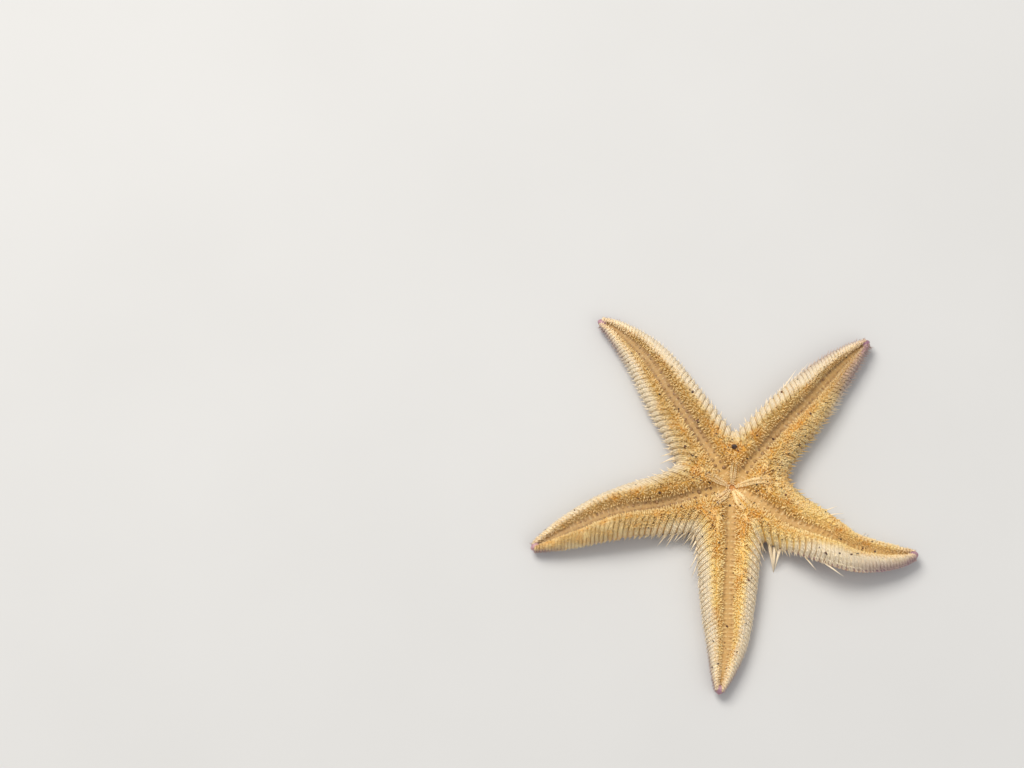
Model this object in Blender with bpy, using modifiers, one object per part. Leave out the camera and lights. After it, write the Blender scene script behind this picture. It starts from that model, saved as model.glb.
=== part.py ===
"""Comb star lying on its back, life size: a disc with its mouth, jaws and madreporite, and five arms.

Metres, +Z up. The origin is on the floor under the mouth, on the flat of the disc's back. The mouth side
faces up. Each arm is drawn along a centreline that starts at the mouth, with named sizes along it.
"""

import math
import random

import bmesh
import bpy
import numpy as np
from mathutils import Vector
from mathutils.bvhtree import BVHTree
from mathutils.geometry import delaunay_2d_cdt

# Touching pieces keep this gap.
GAP = 0.0003

# The disc ends in five flats, one for each arm, this far from the mouth.
ARM_START = 0.0140
DISC_HEIGHT = 0.0072
MOUTH_HEIGHT = 0.0058
MOUTH_RADIUS = 0.0009
MOUTH_RIM_RADIUS = 1.9 * MOUTH_RADIUS
MOUTH_DEPTH = 0.0022
MOUTH_SIDES = 10
# The mouth side is highest this far from the mouth.
CREST_RADIUS = 0.0085

# Sizes of an arm of width factor 1, at its start and at its tip.
ARM_HALF_WIDTH = 0.0070
TIP_HALF_WIDTH = 0.0006
ARM_HEIGHT = 0.0070
TIP_HEIGHT = 0.0024
# A tip plate: its length, its half width and height in shares of the arm's, and the height of its middle in
# shares of its own.
TIP_PLATE_LENGTH = 0.0017
TIP_PLATE_WIDTH = 0.92
TIP_PLATE_HEIGHT = 0.94
TIP_PLATE_MIDDLE = 0.52
TIP_PLATE_SIDES = 10
# An arm narrows and sinks towards its tip as (1 - share ** first) ** second.
WIDTH_TAPER = (3.0, 0.9)
HEIGHT_TAPER = (2.0, 0.7)

# The groove down the mouth side of an arm.
GROOVE_HALF_WIDTH = 0.0013
GROOVE_DEPTH = 0.0019
GROOVE_SLOPE = 0.0007

# The point of an arm's half section where its mouth side turns down into its edge.
SHOULDER = 4

# Marginal plates along each side of an arm, and how far they stand out of the grooves between them.
PLATES_PER_SIDE = 18
FIRST_PLATE_PITCH = 1.35
LAST_PLATE_PITCH = 0.65
PLATES_INNER = 6
PLATES_MIDDLE = 6
PLATE_RELIEF = 0.00055
# The plates along an arm stand out by shares of that, between these.
RELIEF_RANGE = (0.85, 1.15)
# A plate's outer end lies nearer the tip than its inner end, by this share of the arm's half width. The
# slant grows from nothing at the disc's flats, and dies away before the tip plate.
PLATE_SLANT = 0.34
SLANT_RISE = 0.0080
SLANT_FALL = 0.0060
# Plates on the disc fan out from the grooves' edges to each notch.
NOTCH_PLATES = 4
NOTCH_SHARPNESS = 1.7
NOTCH_FAN = math.radians(22)
NOTCH_PLATE_WIDTH = 0.0016
NOTCH_PLATE_SINK = 0.0006
# The back is drawn in at a notch by this share of the arm's half width at most.
NOTCH_INSET = 0.42
# A ring of points this far inside the notches carries the plates' relief.
NOTCH_RING = 0.0014
# Next to the notches the mouth side lies at this share of its height.
NOTCH_TOP = 0.93
# Inside the notches the disc's surface rises and falls by this share of the plates' relief.
NOTCH_RELIEF = 0.7
# Points of the mouth side along each groove, and between the grooves, by their distance from the mouth.
GROOVE_STATIONS = (0.0036, 0.0062, 0.0088, 0.0114)
RIB_STATIONS = (0.0045, 0.0070)

# Comb spines on the outer ends of the plates.
COMB_LENGTH = 0.0031
COMB_TIP_LENGTH = 0.0015
COMB_WIDTH = 0.00075
COMB_THICKNESS = 0.00055
COMB_SWEEP = math.radians(46)
COMB_PITCH = math.radians(46)
NOTCH_COMB_PITCH = math.radians(46)
COMB_SINK = 0.0009
COMB_ROOT_HEIGHT = 0.47
# On the hollow side of a bend the spines stand straighter, so that they don't cross, down to a least sweep.
COMB_STRAIGHTENED = 3.0
COMB_LEAST_SWEEP = 0.2
BEND_STEP = 0.0010
FLOOR_CLEARANCE = 0.0003

# Furrow spines that stand along both edges of each groove.
FURROW_LENGTH = 0.00115
FURROW_WIDTH = 0.00065
FURROW_THICKNESS = 0.00055
FURROW_LEAN = 0.45
FURROW_SINK = 0.0005
FURROW_OUT = 0.0001
DISC_FURROW_SPINES = 5
DISC_FURROW_START = 0.0046
DISC_FURROW_END = ARM_START - 0.0012

# Five jaws round the mouth.
JAW_START = 0.0012
JAW_LENGTH = 0.0056
JAW_HALF_WIDTH = 0.00085
JAW_HEIGHT = 0.0013
JAW_STATIONS = 7
# A jaw's section, in shares of its half width and height.
JAW_SECTION = ((-1, 0), (1, 0), (1, 0.5), (0.55, 0.92), (0, 1), (-0.55, 0.92), (-1, 0.5))
# The disc is felt this far beside a jaw for its highest point.
JAW_MARGIN = 0.0002

# The madreporite, a button set in the back between two arms.
MADREPORITE_RADIUS = 0.0013
MADREPORITE_HEIGHT = 0.0008
MADREPORITE_FROM_MOUTH = 0.0084
MADREPORITE_SIDES = 14
MADREPORITE_BEVEL = 0.0002

# Arms in order round the mouth, anticlockwise from above. Headings are degrees from +X at shares of the
# arm's length. Roll turns the arm about its own axis, and raises its right side, or its left if below 0.
ARMS = {
    "arm_1": {
        "length": 0.0462,
        "width": 0.96,
        "headings": ((0.0, 51.0), (0.45, 49.0), (0.75, 43.0), (1.0, 38.0)),
        "roll": -11.0,
        "tip_lift": 0.0010,
    },
    "arm_2": {
        "length": 0.0494,
        "width": 0.96,
        "headings": ((0.0, 121.5), (0.4, 120.0), (0.8, 138.0), (1.0, 156.0)),
        "roll": 5.0,
        "tip_lift": 0.0008,
    },
    "arm_3": {
        "length": 0.0464,
        "width": 0.99,
        "headings": ((0.0, 195.0), (0.35, 197.0), (0.7, 200.0), (1.0, 203.0)),
        "roll": -16.0,
        "tip_lift": 0.0006,
    },
    "arm_4": {
        "length": 0.0468,
        "width": 1.0,
        "headings": ((0.0, 267.0), (0.5, 269.0), (0.8, 260.0), (1.0, 259.0)),
        "roll": 0.0,
        "tip_lift": 0.0009,
    },
    "arm_5": {
        "length": 0.0461,
        "width": 0.95,
        "headings": ((0.0, 327.0), (0.24, 319.0), (0.68, 361.0), (1.0, 374.0)),
        "roll": 38.0,
        "tip_lift": 0.0010,
    },
}
# From the mouth to the notch between each arm and the next.
NOTCH_RADII = (0.0121, 0.0128, 0.0132, 0.0134, 0.0122)
MADREPORITE_NOTCH = 0

CREAM = ((0.78, 0.62, 0.36, 1.0), 0.75)
GOLD = ((0.70, 0.44, 0.16, 1.0), 0.75)
VIOLET = ((0.32, 0.17, 0.24, 1.0), 0.7)
SAND = ((0.55, 0.40, 0.28, 1.0), 0.85)


def eased(points, at):
    """The value at a position on a curve that eases from one (position, value) pair to the next."""
    places = np.array([p for p, _ in points])
    values = np.array([v for _, v in points])
    at = np.clip(at, places[0], places[-1])
    left = np.clip(np.searchsorted(places, at, side="right") - 1, 0, len(places) - 2)
    share = (at - places[left]) / (places[left + 1] - places[left])
    share = share * share * (3 - 2 * share)
    return values[left] + (values[left + 1] - values[left]) * share


class Arm:
    """One arm's centreline on the floor, and its sizes along it. Distances run from the mouth."""

    STEPS = 300

    def __init__(self, name, length, width, headings, roll, tip_lift):
        self.name = name
        self.length = length
        self.width = width
        self.full_roll = math.radians(roll)
        self.tip_lift = tip_lift
        self.along = np.linspace(0.0, length, self.STEPS + 1)
        shares = np.maximum(self.along - ARM_START, 0.0) / (length - ARM_START)
        self.headings = np.radians(eased(headings, shares))
        middles = (self.headings[1:] + self.headings[:-1]) / 2
        step = length / self.STEPS
        self.x = np.concatenate([[0.0], np.cumsum(np.cos(middles)) * step])
        self.y = np.concatenate([[0.0], np.cumsum(np.sin(middles)) * step])

    def heading(self, s):
        return float(np.interp(s, self.along, self.headings))

    def axes(self, s):
        """Unit vectors along the arm and across it, to its left."""
        turn = self.heading(s)
        return (
            Vector((math.cos(turn), math.sin(turn), 0.0)),
            Vector((-math.sin(turn), math.cos(turn), 0.0)),
        )

    def hollow(self, s, side):
        """How much the arm's bend closes up one of its edges, from 0 to 1: the heading's change over a half
        width, and none on the edge that the bend opens."""
        change = self.heading(s + BEND_STEP) - self.heading(s - BEND_STEP)
        return min(max(side * change / (2 * BEND_STEP) * self.half_width(s), 0.0), 1.0)

    def half_width(self, s):
        taper = (1 - (s / self.length) ** WIDTH_TAPER[0]) ** WIDTH_TAPER[1]
        return self.width * (TIP_HALF_WIDTH + (ARM_HALF_WIDTH - TIP_HALF_WIDTH) * taper)

    def height(self, s):
        taper = (1 - (s / self.length) ** HEIGHT_TAPER[0]) ** HEIGHT_TAPER[1]
        return TIP_HEIGHT + (ARM_HEIGHT - TIP_HEIGHT) * taper

    def groove_half_width(self, s):
        return min(GROOVE_HALF_WIDTH, 0.27 * self.half_width(s))

    def share(self, s):
        return (s - ARM_START) / (self.length - ARM_START)

    def roll(self, s):
        return self.full_roll * float(eased(((0.0, 0.0), (0.45, 1.0), (1.0, 0.55)), self.share(s)))

    def lift(self, s):
        return self.tip_lift * float(eased(((0.0, 0.0), (0.55, 0.0), (1.0, 1.0)), self.share(s)))

    def half_section(self, s, relief):
        """(across, up) pairs on one side: the groove's floor and edge, a plate's inner end, two on its slope
        (the first is the shoulder), the widest line, one below it and the flat of the back.

        relief runs from 0 in the groove between two plates to 1 on a plate.
        """
        wide = self.half_width(s)
        tall = self.height(s)
        groove = self.groove_half_width(s)
        stand = PLATE_RELIEF * (relief - 0.5) * min(1.0, wide / 0.004)
        slope = min(GROOVE_SLOPE, 0.15 * wide)
        depth = min(GROOVE_DEPTH, 0.28 * tall)
        return [
            (0.7 * groove, tall - depth),
            (groove + slope, tall - 0.12 * depth),
            (max(0.54 * wide, groove + 1.6 * slope), tall + 0.7 * stand),
            (0.80 * wide, 0.92 * tall + stand),
            (0.96 * wide + 0.7 * stand, 0.68 * tall + 0.7 * stand),
            (wide + stand, 0.40 * tall),
            (0.93 * wide + stand, 0.17 * tall),
            (0.68 * wide, 0.0),
        ]

    def rise(self, s):
        """How far the section is raised so that, once rolled, its lowest point is at the arm's lift."""
        roll = self.roll(s)
        lowest = min(
            side * across * -math.sin(roll) + up * math.cos(roll)
            for across, up in self.half_section(s, RELIEF_RANGE[1])
            for side in (-1, 1)
        )
        return self.lift(s) - min(lowest, 0.0)

    def direction(self, s, along, across, up):
        """A direction given along, across and up from the rolled arm, in the row frame."""
        forward, left = self.axes(s)
        roll = self.roll(s)
        turned_across = across * math.cos(roll) + up * math.sin(roll)
        turned_up = -across * math.sin(roll) + up * math.cos(roll)
        return forward * along + left * turned_across + Vector((0.0, 0.0, turned_up))

    def point(self, s, across, up):
        """The place at this distance along, across and up from the rolled arm."""
        centre = Vector(
            (
                float(np.interp(s, self.along, self.x)),
                float(np.interp(s, self.along, self.y)),
                self.rise(s),
            )
        )
        return centre + self.direction(s, 0.0, across, up)

    def slant(self, s):
        rising = eased(((0.0, 0.0), (SLANT_RISE, 1.0)), s - ARM_START)
        falling = eased(((0.0, 0.0), (SLANT_FALL, 1.0)), self.length - TIP_PLATE_LENGTH - s)
        return PLATE_SLANT * self.half_width(s) * float(rising * falling)

    def ring(self, s, relief):
        """The slanted section as points, from the groove round the left side, and back round the right."""
        groove = self.groove_half_width(s)
        reach = self.half_width(s) - groove
        half = []
        for i, (across, _) in enumerate(self.half_section(s, relief)):
            own = s + self.slant(s) * min(max((across - groove) / reach, 0.0), 1.0)
            half.append((own, *self.half_section(own, relief)[i]))
        left = [self.point(own, across, up) for own, across, up in half]
        right = [self.point(own, -across, up) for own, across, up in reversed(half)]
        return left + right

    def plate_edges(self):
        """Where the grooves between plates cross the arm, from its start to its tip plate."""
        pitches = np.linspace(FIRST_PLATE_PITCH, LAST_PLATE_PITCH, PLATES_PER_SIDE)
        end = self.length - TIP_PLATE_LENGTH
        ends = np.concatenate([[0.0], np.cumsum(pitches) / pitches.sum()])
        return [float(ARM_START + (end - ARM_START) * share) for share in ends]


def material(name, finish):
    colour, roughness = finish
    made = bpy.data.materials.new(name)
    made.use_nodes = True
    shader = made.node_tree.nodes["Principled BSDF"]
    shader.inputs["Base Color"].default_value = colour
    shader.inputs["Roughness"].default_value = roughness
    shader.inputs["Metallic"].default_value = 0.0
    return made


def mesh_object(name, bm, collection):
    bmesh.ops.triangulate(bm, faces=bm.faces[:])
    bmesh.ops.recalc_face_normals(bm, faces=bm.faces[:])
    mesh = bpy.data.meshes.new(name)
    bm.to_mesh(mesh)
    bm.free()
    obj = bpy.data.objects.new(name, mesh)
    collection.objects.link(obj)
    return obj


def loft(name, rings, collection, cap=None):
    """A closed body through rings of points. cap closes an end, which is one flat face without it."""
    bm = bmesh.new()
    loops = [[bm.verts.new(point) for point in ring] for ring in rings]
    for first, second in zip(loops, loops[1:]):
        for i, vert in enumerate(first):
            j = (i + 1) % len(first)
            bm.faces.new((vert, first[j], second[j], second[i]))
    for loop in (loops[0], loops[-1]):
        if cap:
            cap(bm, loop)
        else:
            bm.faces.new(loop)
    return mesh_object(name, bm, collection)


def arm_cap(bm, ring):
    """Closes an arm's slanted section, so that two facing ends are alike: a wing on each side of the groove,
    and below it strips from side to side."""
    half = len(ring) // 2
    left = ring[:half]
    right = ring[half:][::-1]
    for i in range(1, SHOULDER):
        bm.faces.new((left[0], left[i], left[i + 1]))
        bm.faces.new((right[0], right[i + 1], right[i]))
    bm.faces.new((left[0], left[SHOULDER], right[SHOULDER], right[0]))
    for i in range(SHOULDER, half - 1):
        bm.faces.new((left[i], left[i + 1], right[i + 1], right[i]))


def spine(start, tip, across, width, thickness, collection):
    """A four-sided spine from its root, sunk in what it grows from, to its point."""
    direction = (tip - start).normalized()
    across = (across - direction * across.dot(direction)).normalized()
    flat = direction.cross(across)
    bm = bmesh.new()
    base = [
        bm.verts.new(start + across * (x * width / 2) + flat * (y * thickness / 2))
        for x, y in ((-1, -1), (1, -1), (1, 1), (-1, 1))
    ]
    point = bm.verts.new(tip)
    for i, corner in enumerate(base):
        bm.faces.new((corner, base[(i + 1) % 4], point))
    bm.faces.new(base)
    return mesh_object("spine", bm, collection)


def largest_body(obj):
    """Removes every closed surface of the mesh but the one with the most volume."""
    bm = bmesh.new()
    bm.from_mesh(obj.data)
    bmesh.ops.triangulate(bm, faces=bm.faces[:])
    unseen = set(bm.faces)
    bodies = []
    while unseen:
        reached = [unseen.pop()]
        for face in reached:
            for edge in face.edges:
                for other in edge.link_faces:
                    if other in unseen:
                        unseen.remove(other)
                        reached.append(other)
        bodies.append(reached)

    def volume(faces):
        corners = ([v.co for v in face.verts] for face in faces)
        return sum(a.dot(b.cross(c)) for a, b, c in corners) / 6

    bodies.sort(key=volume)
    spare = [face for body in bodies[:-1] for face in body]
    bmesh.ops.delete(bm, geom=spare, context="FACES")
    bm.to_mesh(obj.data)
    bm.free()


def apply_boolean(obj, operation, collection):
    """Joins or cuts the object with all that a collection holds, applies it, and removes those objects."""
    modifier = obj.modifiers.new("join", "BOOLEAN")
    modifier.operation = operation
    modifier.operand_type = "COLLECTION"
    modifier.collection = collection
    modifier.solver = "MANIFOLD"
    graph = bpy.context.evaluated_depsgraph_get()
    made = bpy.data.meshes.new_from_object(obj.evaluated_get(graph))
    obj.modifiers.remove(modifier)
    obj.data = made
    for other in list(collection.objects):
        bpy.data.objects.remove(other)
    bpy.data.collections.remove(collection)
    largest_body(obj)


def scratch_collection(name):
    made = bpy.data.collections.new(name)
    bpy.context.scene.collection.children.link(made)
    return made


def comb_direction(arm, s, side, sweep, pitch):
    """Out from the arm's side, swept towards the tip and down towards the floor."""
    return arm.direction(
        s,
        math.cos(pitch) * math.sin(sweep),
        side * math.cos(pitch) * math.cos(sweep),
        -math.sin(pitch),
    )


def clear_of_floor(root, direction, length):
    """The direction, turned up where its tip would come too near the floor."""
    drop = (FLOOR_CLEARANCE - root.z) / length
    if direction.z >= drop:
        return direction
    level = Vector((direction.x, direction.y, 0.0)).normalized()
    return level * math.sqrt(1 - drop * drop) + Vector((0.0, 0.0, drop))


def comb_spine(arm, s, side, length, sweep, pitch, collection):
    """Its root is sunk straight across, so that it keeps to its own plate."""
    up = COMB_ROOT_HEIGHT * arm.height(s)
    root = arm.point(s, side * arm.half_width(s), up)
    sweep *= max(1 - COMB_STRAIGHTENED * arm.hollow(s, side), COMB_LEAST_SWEEP)
    direction = clear_of_floor(root, comb_direction(arm, s, side, sweep, pitch), length)
    spine(
        arm.point(s, side * (arm.half_width(s) - COMB_SINK), up),
        root + direction * length,
        arm.direction(s, 1.0, 0.0, 0.0),
        COMB_WIDTH * (0.75 + 0.25 * length / COMB_LENGTH),
        COMB_THICKNESS,
        collection,
    )


def furrow_spine(root, up, inwards, along, length, collection):
    spine(
        root - up * FURROW_SINK,
        root + (up + inwards * FURROW_LEAN).normalized() * length,
        along,
        FURROW_WIDTH,
        FURROW_THICKNESS,
        collection,
    )


def arm_length_of(arm, part, first, last, draw):
    """One length of an arm: the body from one plate's edge to another, with its spines joined to it."""
    edges = arm.plate_edges()
    rings = []
    spines = scratch_collection(f"{arm.name}_{part}_spines")
    for plate in range(first, last):
        start, end = edges[plate], edges[plate + 1]
        if plate == first:
            rings.append(arm.ring(start + GAP / 2, 0.0))
        middle = (start + end) / 2
        rings.append(arm.ring(middle, draw.uniform(*RELIEF_RANGE)))
        rings.append(arm.ring(end - GAP / 2 if plate == last - 1 else end, 0.0))
        outer = middle + arm.slant(middle)
        comb = COMB_TIP_LENGTH + (COMB_LENGTH - COMB_TIP_LENGTH) * (1 - arm.share(middle))
        furrow = FURROW_LENGTH * (0.55 + 0.45 * arm.half_width(middle) / ARM_HALF_WIDTH)
        for side in (-1, 1):
            comb_spine(
                arm,
                outer,
                side,
                comb * draw.uniform(0.85, 1.1),
                COMB_SWEEP + draw.uniform(-0.12, 0.12),
                COMB_PITCH + draw.uniform(-0.15, 0.15),
                spines,
            )
            across, up = arm.half_section(middle, 0.5)[1]
            furrow_spine(
                arm.point(middle, side * (across + FURROW_OUT), up),
                arm.direction(middle, 0.0, 0.0, 1.0),
                arm.direction(middle, 0.0, -side, 0.0),
                arm.direction(middle, 1.0, 0.0, 0.0),
                furrow * draw.uniform(0.85, 1.1),
                spines,
            )
    body = loft(f"{arm.name}_{part}", rings, bpy.data.collections["comb_star"], arm_cap)
    apply_boolean(body, "UNION", spines)
    return body


def tip_plate(arm):
    """The rounded plate that closes an arm, a little wider than the arm's end."""
    start = arm.length - TIP_PLATE_LENGTH + GAP / 2
    wide = TIP_PLATE_WIDTH * arm.half_width(start)
    tall = TIP_PLATE_HEIGHT * arm.height(start)
    base = arm.point(start, 0.0, 0.0)
    forward, left = arm.axes(start)
    rings = []
    for share in (0.0, 0.25, 0.55, 0.82, 0.97):
        swell = (1 - share**1.5) ** 0.75
        centre = base + forward * (share * TIP_PLATE_LENGTH) + Vector((0.0, 0.0, TIP_PLATE_MIDDLE * tall))
        rings.append(
            [
                centre
                + left * (swell * wide * math.cos(turn))
                + Vector((0.0, 0.0, (1 - TIP_PLATE_MIDDLE) * swell * tall * math.sin(turn)))
                for turn in np.linspace(0.0, 2 * math.pi, TIP_PLATE_SIDES, endpoint=False)
            ]
        )
    return loft(f"{arm.name}_tip_plate", rings, bpy.data.collections["comb_star"])


class Disc:
    """Heights and outline of the disc, between the five flats where the arms begin."""

    def __init__(self, arms):
        self.arms = arms
        self.face = ARM_START - GAP / 2

    def crest(self, radius):
        """Height of the mouth side away from the grooves."""
        return float(
            eased(
                (
                    (0.0, MOUTH_HEIGHT),
                    (CREST_RADIUS, DISC_HEIGHT),
                    (ARM_START, self.arms[0].height(ARM_START)),
                ),
                radius,
            )
        )

    def top(self, x, y):
        """Height of the mouth side, with its five grooves."""
        radius = math.hypot(x, y)
        height = self.crest(radius)
        for arm in self.arms:
            forward, left = arm.axes(0.0)
            along = forward.x * x + forward.y * y
            across = abs(left.x * x + left.y * y)
            if along < 0:
                continue
            groove = arm.groove_half_width(ARM_START)
            reach = [0.7 * groove, groove + GROOVE_SLOPE, groove + 3 * GROOVE_SLOPE]
            drop = [GROOVE_DEPTH, 0.12 * GROOVE_DEPTH, 0.0]
            height = min(height, self.crest(radius) - float(np.interp(across, reach, drop)))
        return height

    def notch_columns(self, index):
        """Points of the side between two arms: columns round the notch, each from shoulder to back."""
        before, after = self.arms[index], self.arms[(index + 1) % len(self.arms)]
        middle = (before.heading(0.0) + after.heading(0.0)) / 2
        if after.heading(0.0) < before.heading(0.0):
            middle += math.pi
        notch = NOTCH_RADII[index]
        half_before = before.half_section(self.face, 0.0)[SHOULDER:]
        half_after = after.half_section(self.face, 0.0)[SHOULDER:]
        wide = half_before[1][0]
        columns = []
        for k in range(2 * NOTCH_PLATES + 1):
            t = k / NOTCH_PLATES - 1
            relief = k % 2
            stand = PLATE_RELIEF * relief
            column = []
            for (a, up), (b, _) in zip(half_before, half_after):
                arm, across, side = (before, a, 1) if t < 0 else (after, b, -1)
                corner = arm.point(self.face, side * across, 0.0)
                turn = math.atan2(corner.y, corner.x) - middle
                turn = (turn + math.pi) % (2 * math.pi) - math.pi
                inset = min(wide - a, NOTCH_INSET * wide)
                radius = notch - inset
                radius += (math.hypot(corner.x, corner.y) - radius) * abs(t) ** NOTCH_SHARPNESS
                radius += stand if up > 0.1 * ARM_HEIGHT else 0.0
                angle = middle + abs(turn) * t
                column.append(Vector((radius * math.cos(angle), radius * math.sin(angle), up)))
            columns.append(column)
        return columns

    def mesh(self):
        """The disc as one closed body: mouth side, five flats, five notches and the flat back."""
        bm = bmesh.new()
        made = {}

        def vert(point):
            key = tuple(round(c * 1e7) for c in point)
            if key not in made:
                made[key] = bm.verts.new(point)
            return made[key]

        rim, back = [], []
        for index, arm in enumerate(self.arms):
            half = arm.half_section(self.face, 0.0)
            right = [arm.point(self.face, -across, up) for across, up in half]
            left = [arm.point(self.face, across, up) for across, up in half]
            bm.faces.new([vert(p) for p in left + right[::-1]])
            rim += right[SHOULDER::-1] + left[:SHOULDER]
            back += [right[-1], left[-1]]
            columns = self.notch_columns(index)
            columns[0] = left[SHOULDER:]
            after = self.arms[(index + 1) % len(self.arms)]
            half = after.half_section(self.face, 0.0)[SHOULDER:]
            columns[-1] = [after.point(self.face, -across, up) for across, up in half]
            for first, second in zip(columns, columns[1:]):
                for row in range(len(first) - 1):
                    corners = (first[row], second[row], second[row + 1], first[row + 1])
                    bm.faces.new([vert(p) for p in corners])
            rim += [column[0] for column in columns[:-1]]
            back += [column[-1] for column in columns[1:-1]]
        bm.faces.new([vert(p) for p in back])
        self.add_mouth_side(bm, vert, rim)
        return mesh_object("disc", bm, bpy.data.collections["comb_star"])

    def add_mouth_side(self, bm, vert, rim):
        """Triangles over the mouth side: the rim, points along the grooves and the ribs, and the mouth."""
        points = [(p.x, p.y) for p in rim]
        heights = {(p.x, p.y): p.z for p in rim}
        inside = []
        for index, arm in enumerate(self.arms):
            forward, left = arm.axes(0.0)
            groove = arm.groove_half_width(ARM_START)
            across = (0.7 * groove, groove + GROOVE_SLOPE)
            for along in GROOVE_STATIONS:
                for offset in across:
                    for side in (-1, 1):
                        place = forward * along + left * (side * offset)
                        if along > offset * 1.6:
                            inside.append((place.x, place.y))
            columns = self.notch_columns(index)
            middle = math.atan2(columns[NOTCH_PLATES][0].y, columns[NOTCH_PLATES][0].x)
            for radius in RIB_STATIONS:
                inside.append((radius * math.cos(middle), radius * math.sin(middle)))
            for k, column in enumerate(columns):
                place = Vector((column[0].x, column[0].y, 0.0))
                place *= (place.length - NOTCH_RING) / place.length
                if 0 < k < 2 * NOTCH_PLATES:
                    inside.append((place.x, place.y))
                    relief = NOTCH_RELIEF * PLATE_RELIEF * (2 * (k % 2) - 1)
                    heights[inside[-1]] = NOTCH_TOP * self.crest(place.length) + relief
        for turn in np.linspace(0.0, 2 * math.pi, MOUTH_SIDES, endpoint=False):
            inside.append((MOUTH_RIM_RADIUS * math.cos(turn), MOUTH_RIM_RADIUS * math.sin(turn)))
            floor = (MOUTH_RADIUS * math.cos(turn), MOUTH_RADIUS * math.sin(turn))
            inside.append(floor)
            heights[floor] = MOUTH_HEIGHT - MOUTH_DEPTH
        for x, y in inside:
            heights.setdefault((x, y), self.top(x, y))
        flat = [Vector(p) for p in points + inside]
        edge = list(range(len(points)))
        found = delaunay_2d_cdt(flat, [], [edge], 1, 1e-7)
        order = [source[0] for source in found[3]]
        placed = points + inside
        for face in found[2]:
            corners = [placed[order[i]] for i in face]
            bm.faces.new([vert(Vector((x, y, heights[(x, y)]))) for x, y in corners])

    def add_plate(self, arm, side, column, spread, collection):
        """A ridge from the edge of a groove to a column of the notch."""
        forward, left = arm.axes(0.0)
        shoulder = Vector((column[0].x, column[0].y, 0.0))
        along, across = shoulder.dot(forward), abs(shoulder.dot(left))
        inner = arm.groove_half_width(ARM_START) + 2 * GROOVE_SLOPE
        start = forward * (along - (across - inner) / math.tan(spread)) + left * (side * inner)
        run = shoulder - start
        sideways = Vector((-run.y, run.x, 0.0)).normalized()
        rings = []
        for share in (0.0, 0.45, 0.8, 1.0):
            place = start + run * share
            surface = self.top(place.x, place.y) if share < 0.5 else NOTCH_TOP * self.crest(place.length)
            surface = column[0].z if share == 1.0 else surface
            wide = NOTCH_PLATE_WIDTH * (1 - 0.45 * share)
            rings.append(
                [
                    place + sideways * (x * wide) + Vector((0.0, 0.0, surface + z))
                    for x, z in ((-0.5, -NOTCH_PLATE_SINK), (0.5, -NOTCH_PLATE_SINK), (0.0, PLATE_RELIEF))
                ]
            )
        loft("plate", rings, collection)

    def add_spines(self, body, draw):
        """Plates and comb spines round each notch, and furrow spines along the inner ends of the grooves."""
        spines = scratch_collection("disc_spines")
        for index, arm in enumerate(self.arms):
            after = self.arms[(index + 1) % len(self.arms)]
            apart = (after.heading(0.0) - arm.heading(0.0)) % (2 * math.pi)
            for k, column in list(enumerate(self.notch_columns(index)))[1::2]:
                owner, side = (arm, 1) if k < NOTCH_PLATES else (after, -1)
                fan = abs(k - NOTCH_PLATES) / NOTCH_PLATES
                self.add_plate(owner, side, column, apart / 2 + NOTCH_FAN * fan, spines)
                root = (column[0] + column[1]) / 2
                outward = Vector((root.x, root.y, 0.0)).normalized()
                length = COMB_LENGTH * draw.uniform(0.85, 1.0)
                pitch = NOTCH_COMB_PITCH + draw.uniform(-0.1, 0.1)
                direction = outward * math.cos(pitch) - Vector((0.0, 0.0, math.sin(pitch)))
                direction = clear_of_floor(root, direction, length)
                spine(
                    root - outward * COMB_SINK,
                    root + direction * length,
                    outward.cross(Vector((0.0, 0.0, 1.0))),
                    COMB_WIDTH,
                    COMB_THICKNESS,
                    spines,
                )
            forward, left = arm.axes(0.0)
            offset = arm.groove_half_width(ARM_START) + GROOVE_SLOPE
            for along in np.linspace(DISC_FURROW_START, DISC_FURROW_END, DISC_FURROW_SPINES):
                for side in (-1, 1):
                    root = forward * along + left * (side * offset)
                    root.z = self.top(root.x, root.y)
                    furrow_spine(
                        root,
                        Vector((0.0, 0.0, 1.0)),
                        left * -side,
                        forward,
                        FURROW_LENGTH * draw.uniform(0.85, 1.1),
                        spines,
                    )
        apply_boolean(body, "UNION", spines)


def highest(surface, place, outward, reach, across, wide):
    """The highest point of a surface, seen from above, on a small grid round a place."""
    drop = Vector((0.0, 0.0, -1.0))
    found = []
    for along in np.linspace(-reach, reach, 5):
        for side in np.linspace(-wide, wide, 7):
            spot = place + outward * float(along) + across * float(side)
            hit = surface.ray_cast(Vector((spot.x, spot.y, 2 * DISC_HEIGHT)), drop)[0]
            found.append(hit.z)
    return max(found)


def jaw(disc, surface, index):
    """A keel that lies on the disc between two grooves and points at the mouth."""
    middle = disc.notch_columns(index)[NOTCH_PLATES][0]
    outward = Vector((middle.x, middle.y, 0.0)).normalized()
    across = Vector((-outward.y, outward.x, 0.0))
    rings = []
    step = JAW_LENGTH / (JAW_STATIONS - 1)
    for k in range(JAW_STATIONS):
        share = k / (JAW_STATIONS - 1)
        swell = 0.35 + 0.65 * math.sin(math.pi * (0.12 + 0.76 * share))
        place = outward * (JAW_START + JAW_LENGTH * share)
        wide = JAW_HALF_WIDTH * swell
        low = highest(surface, place, outward, 0.8 * step, across, wide + JAW_MARGIN) + GAP
        high = low + JAW_HEIGHT * (0.55 + 0.45 * swell)
        rings.append(
            [
                Vector((*(place + across * (x * wide)).xy, low + (high - low) * z))
                for x, z in JAW_SECTION
            ]
        )
    return loft(f"jaw_{index + 1}", rings, bpy.data.collections["comb_star"])


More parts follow.
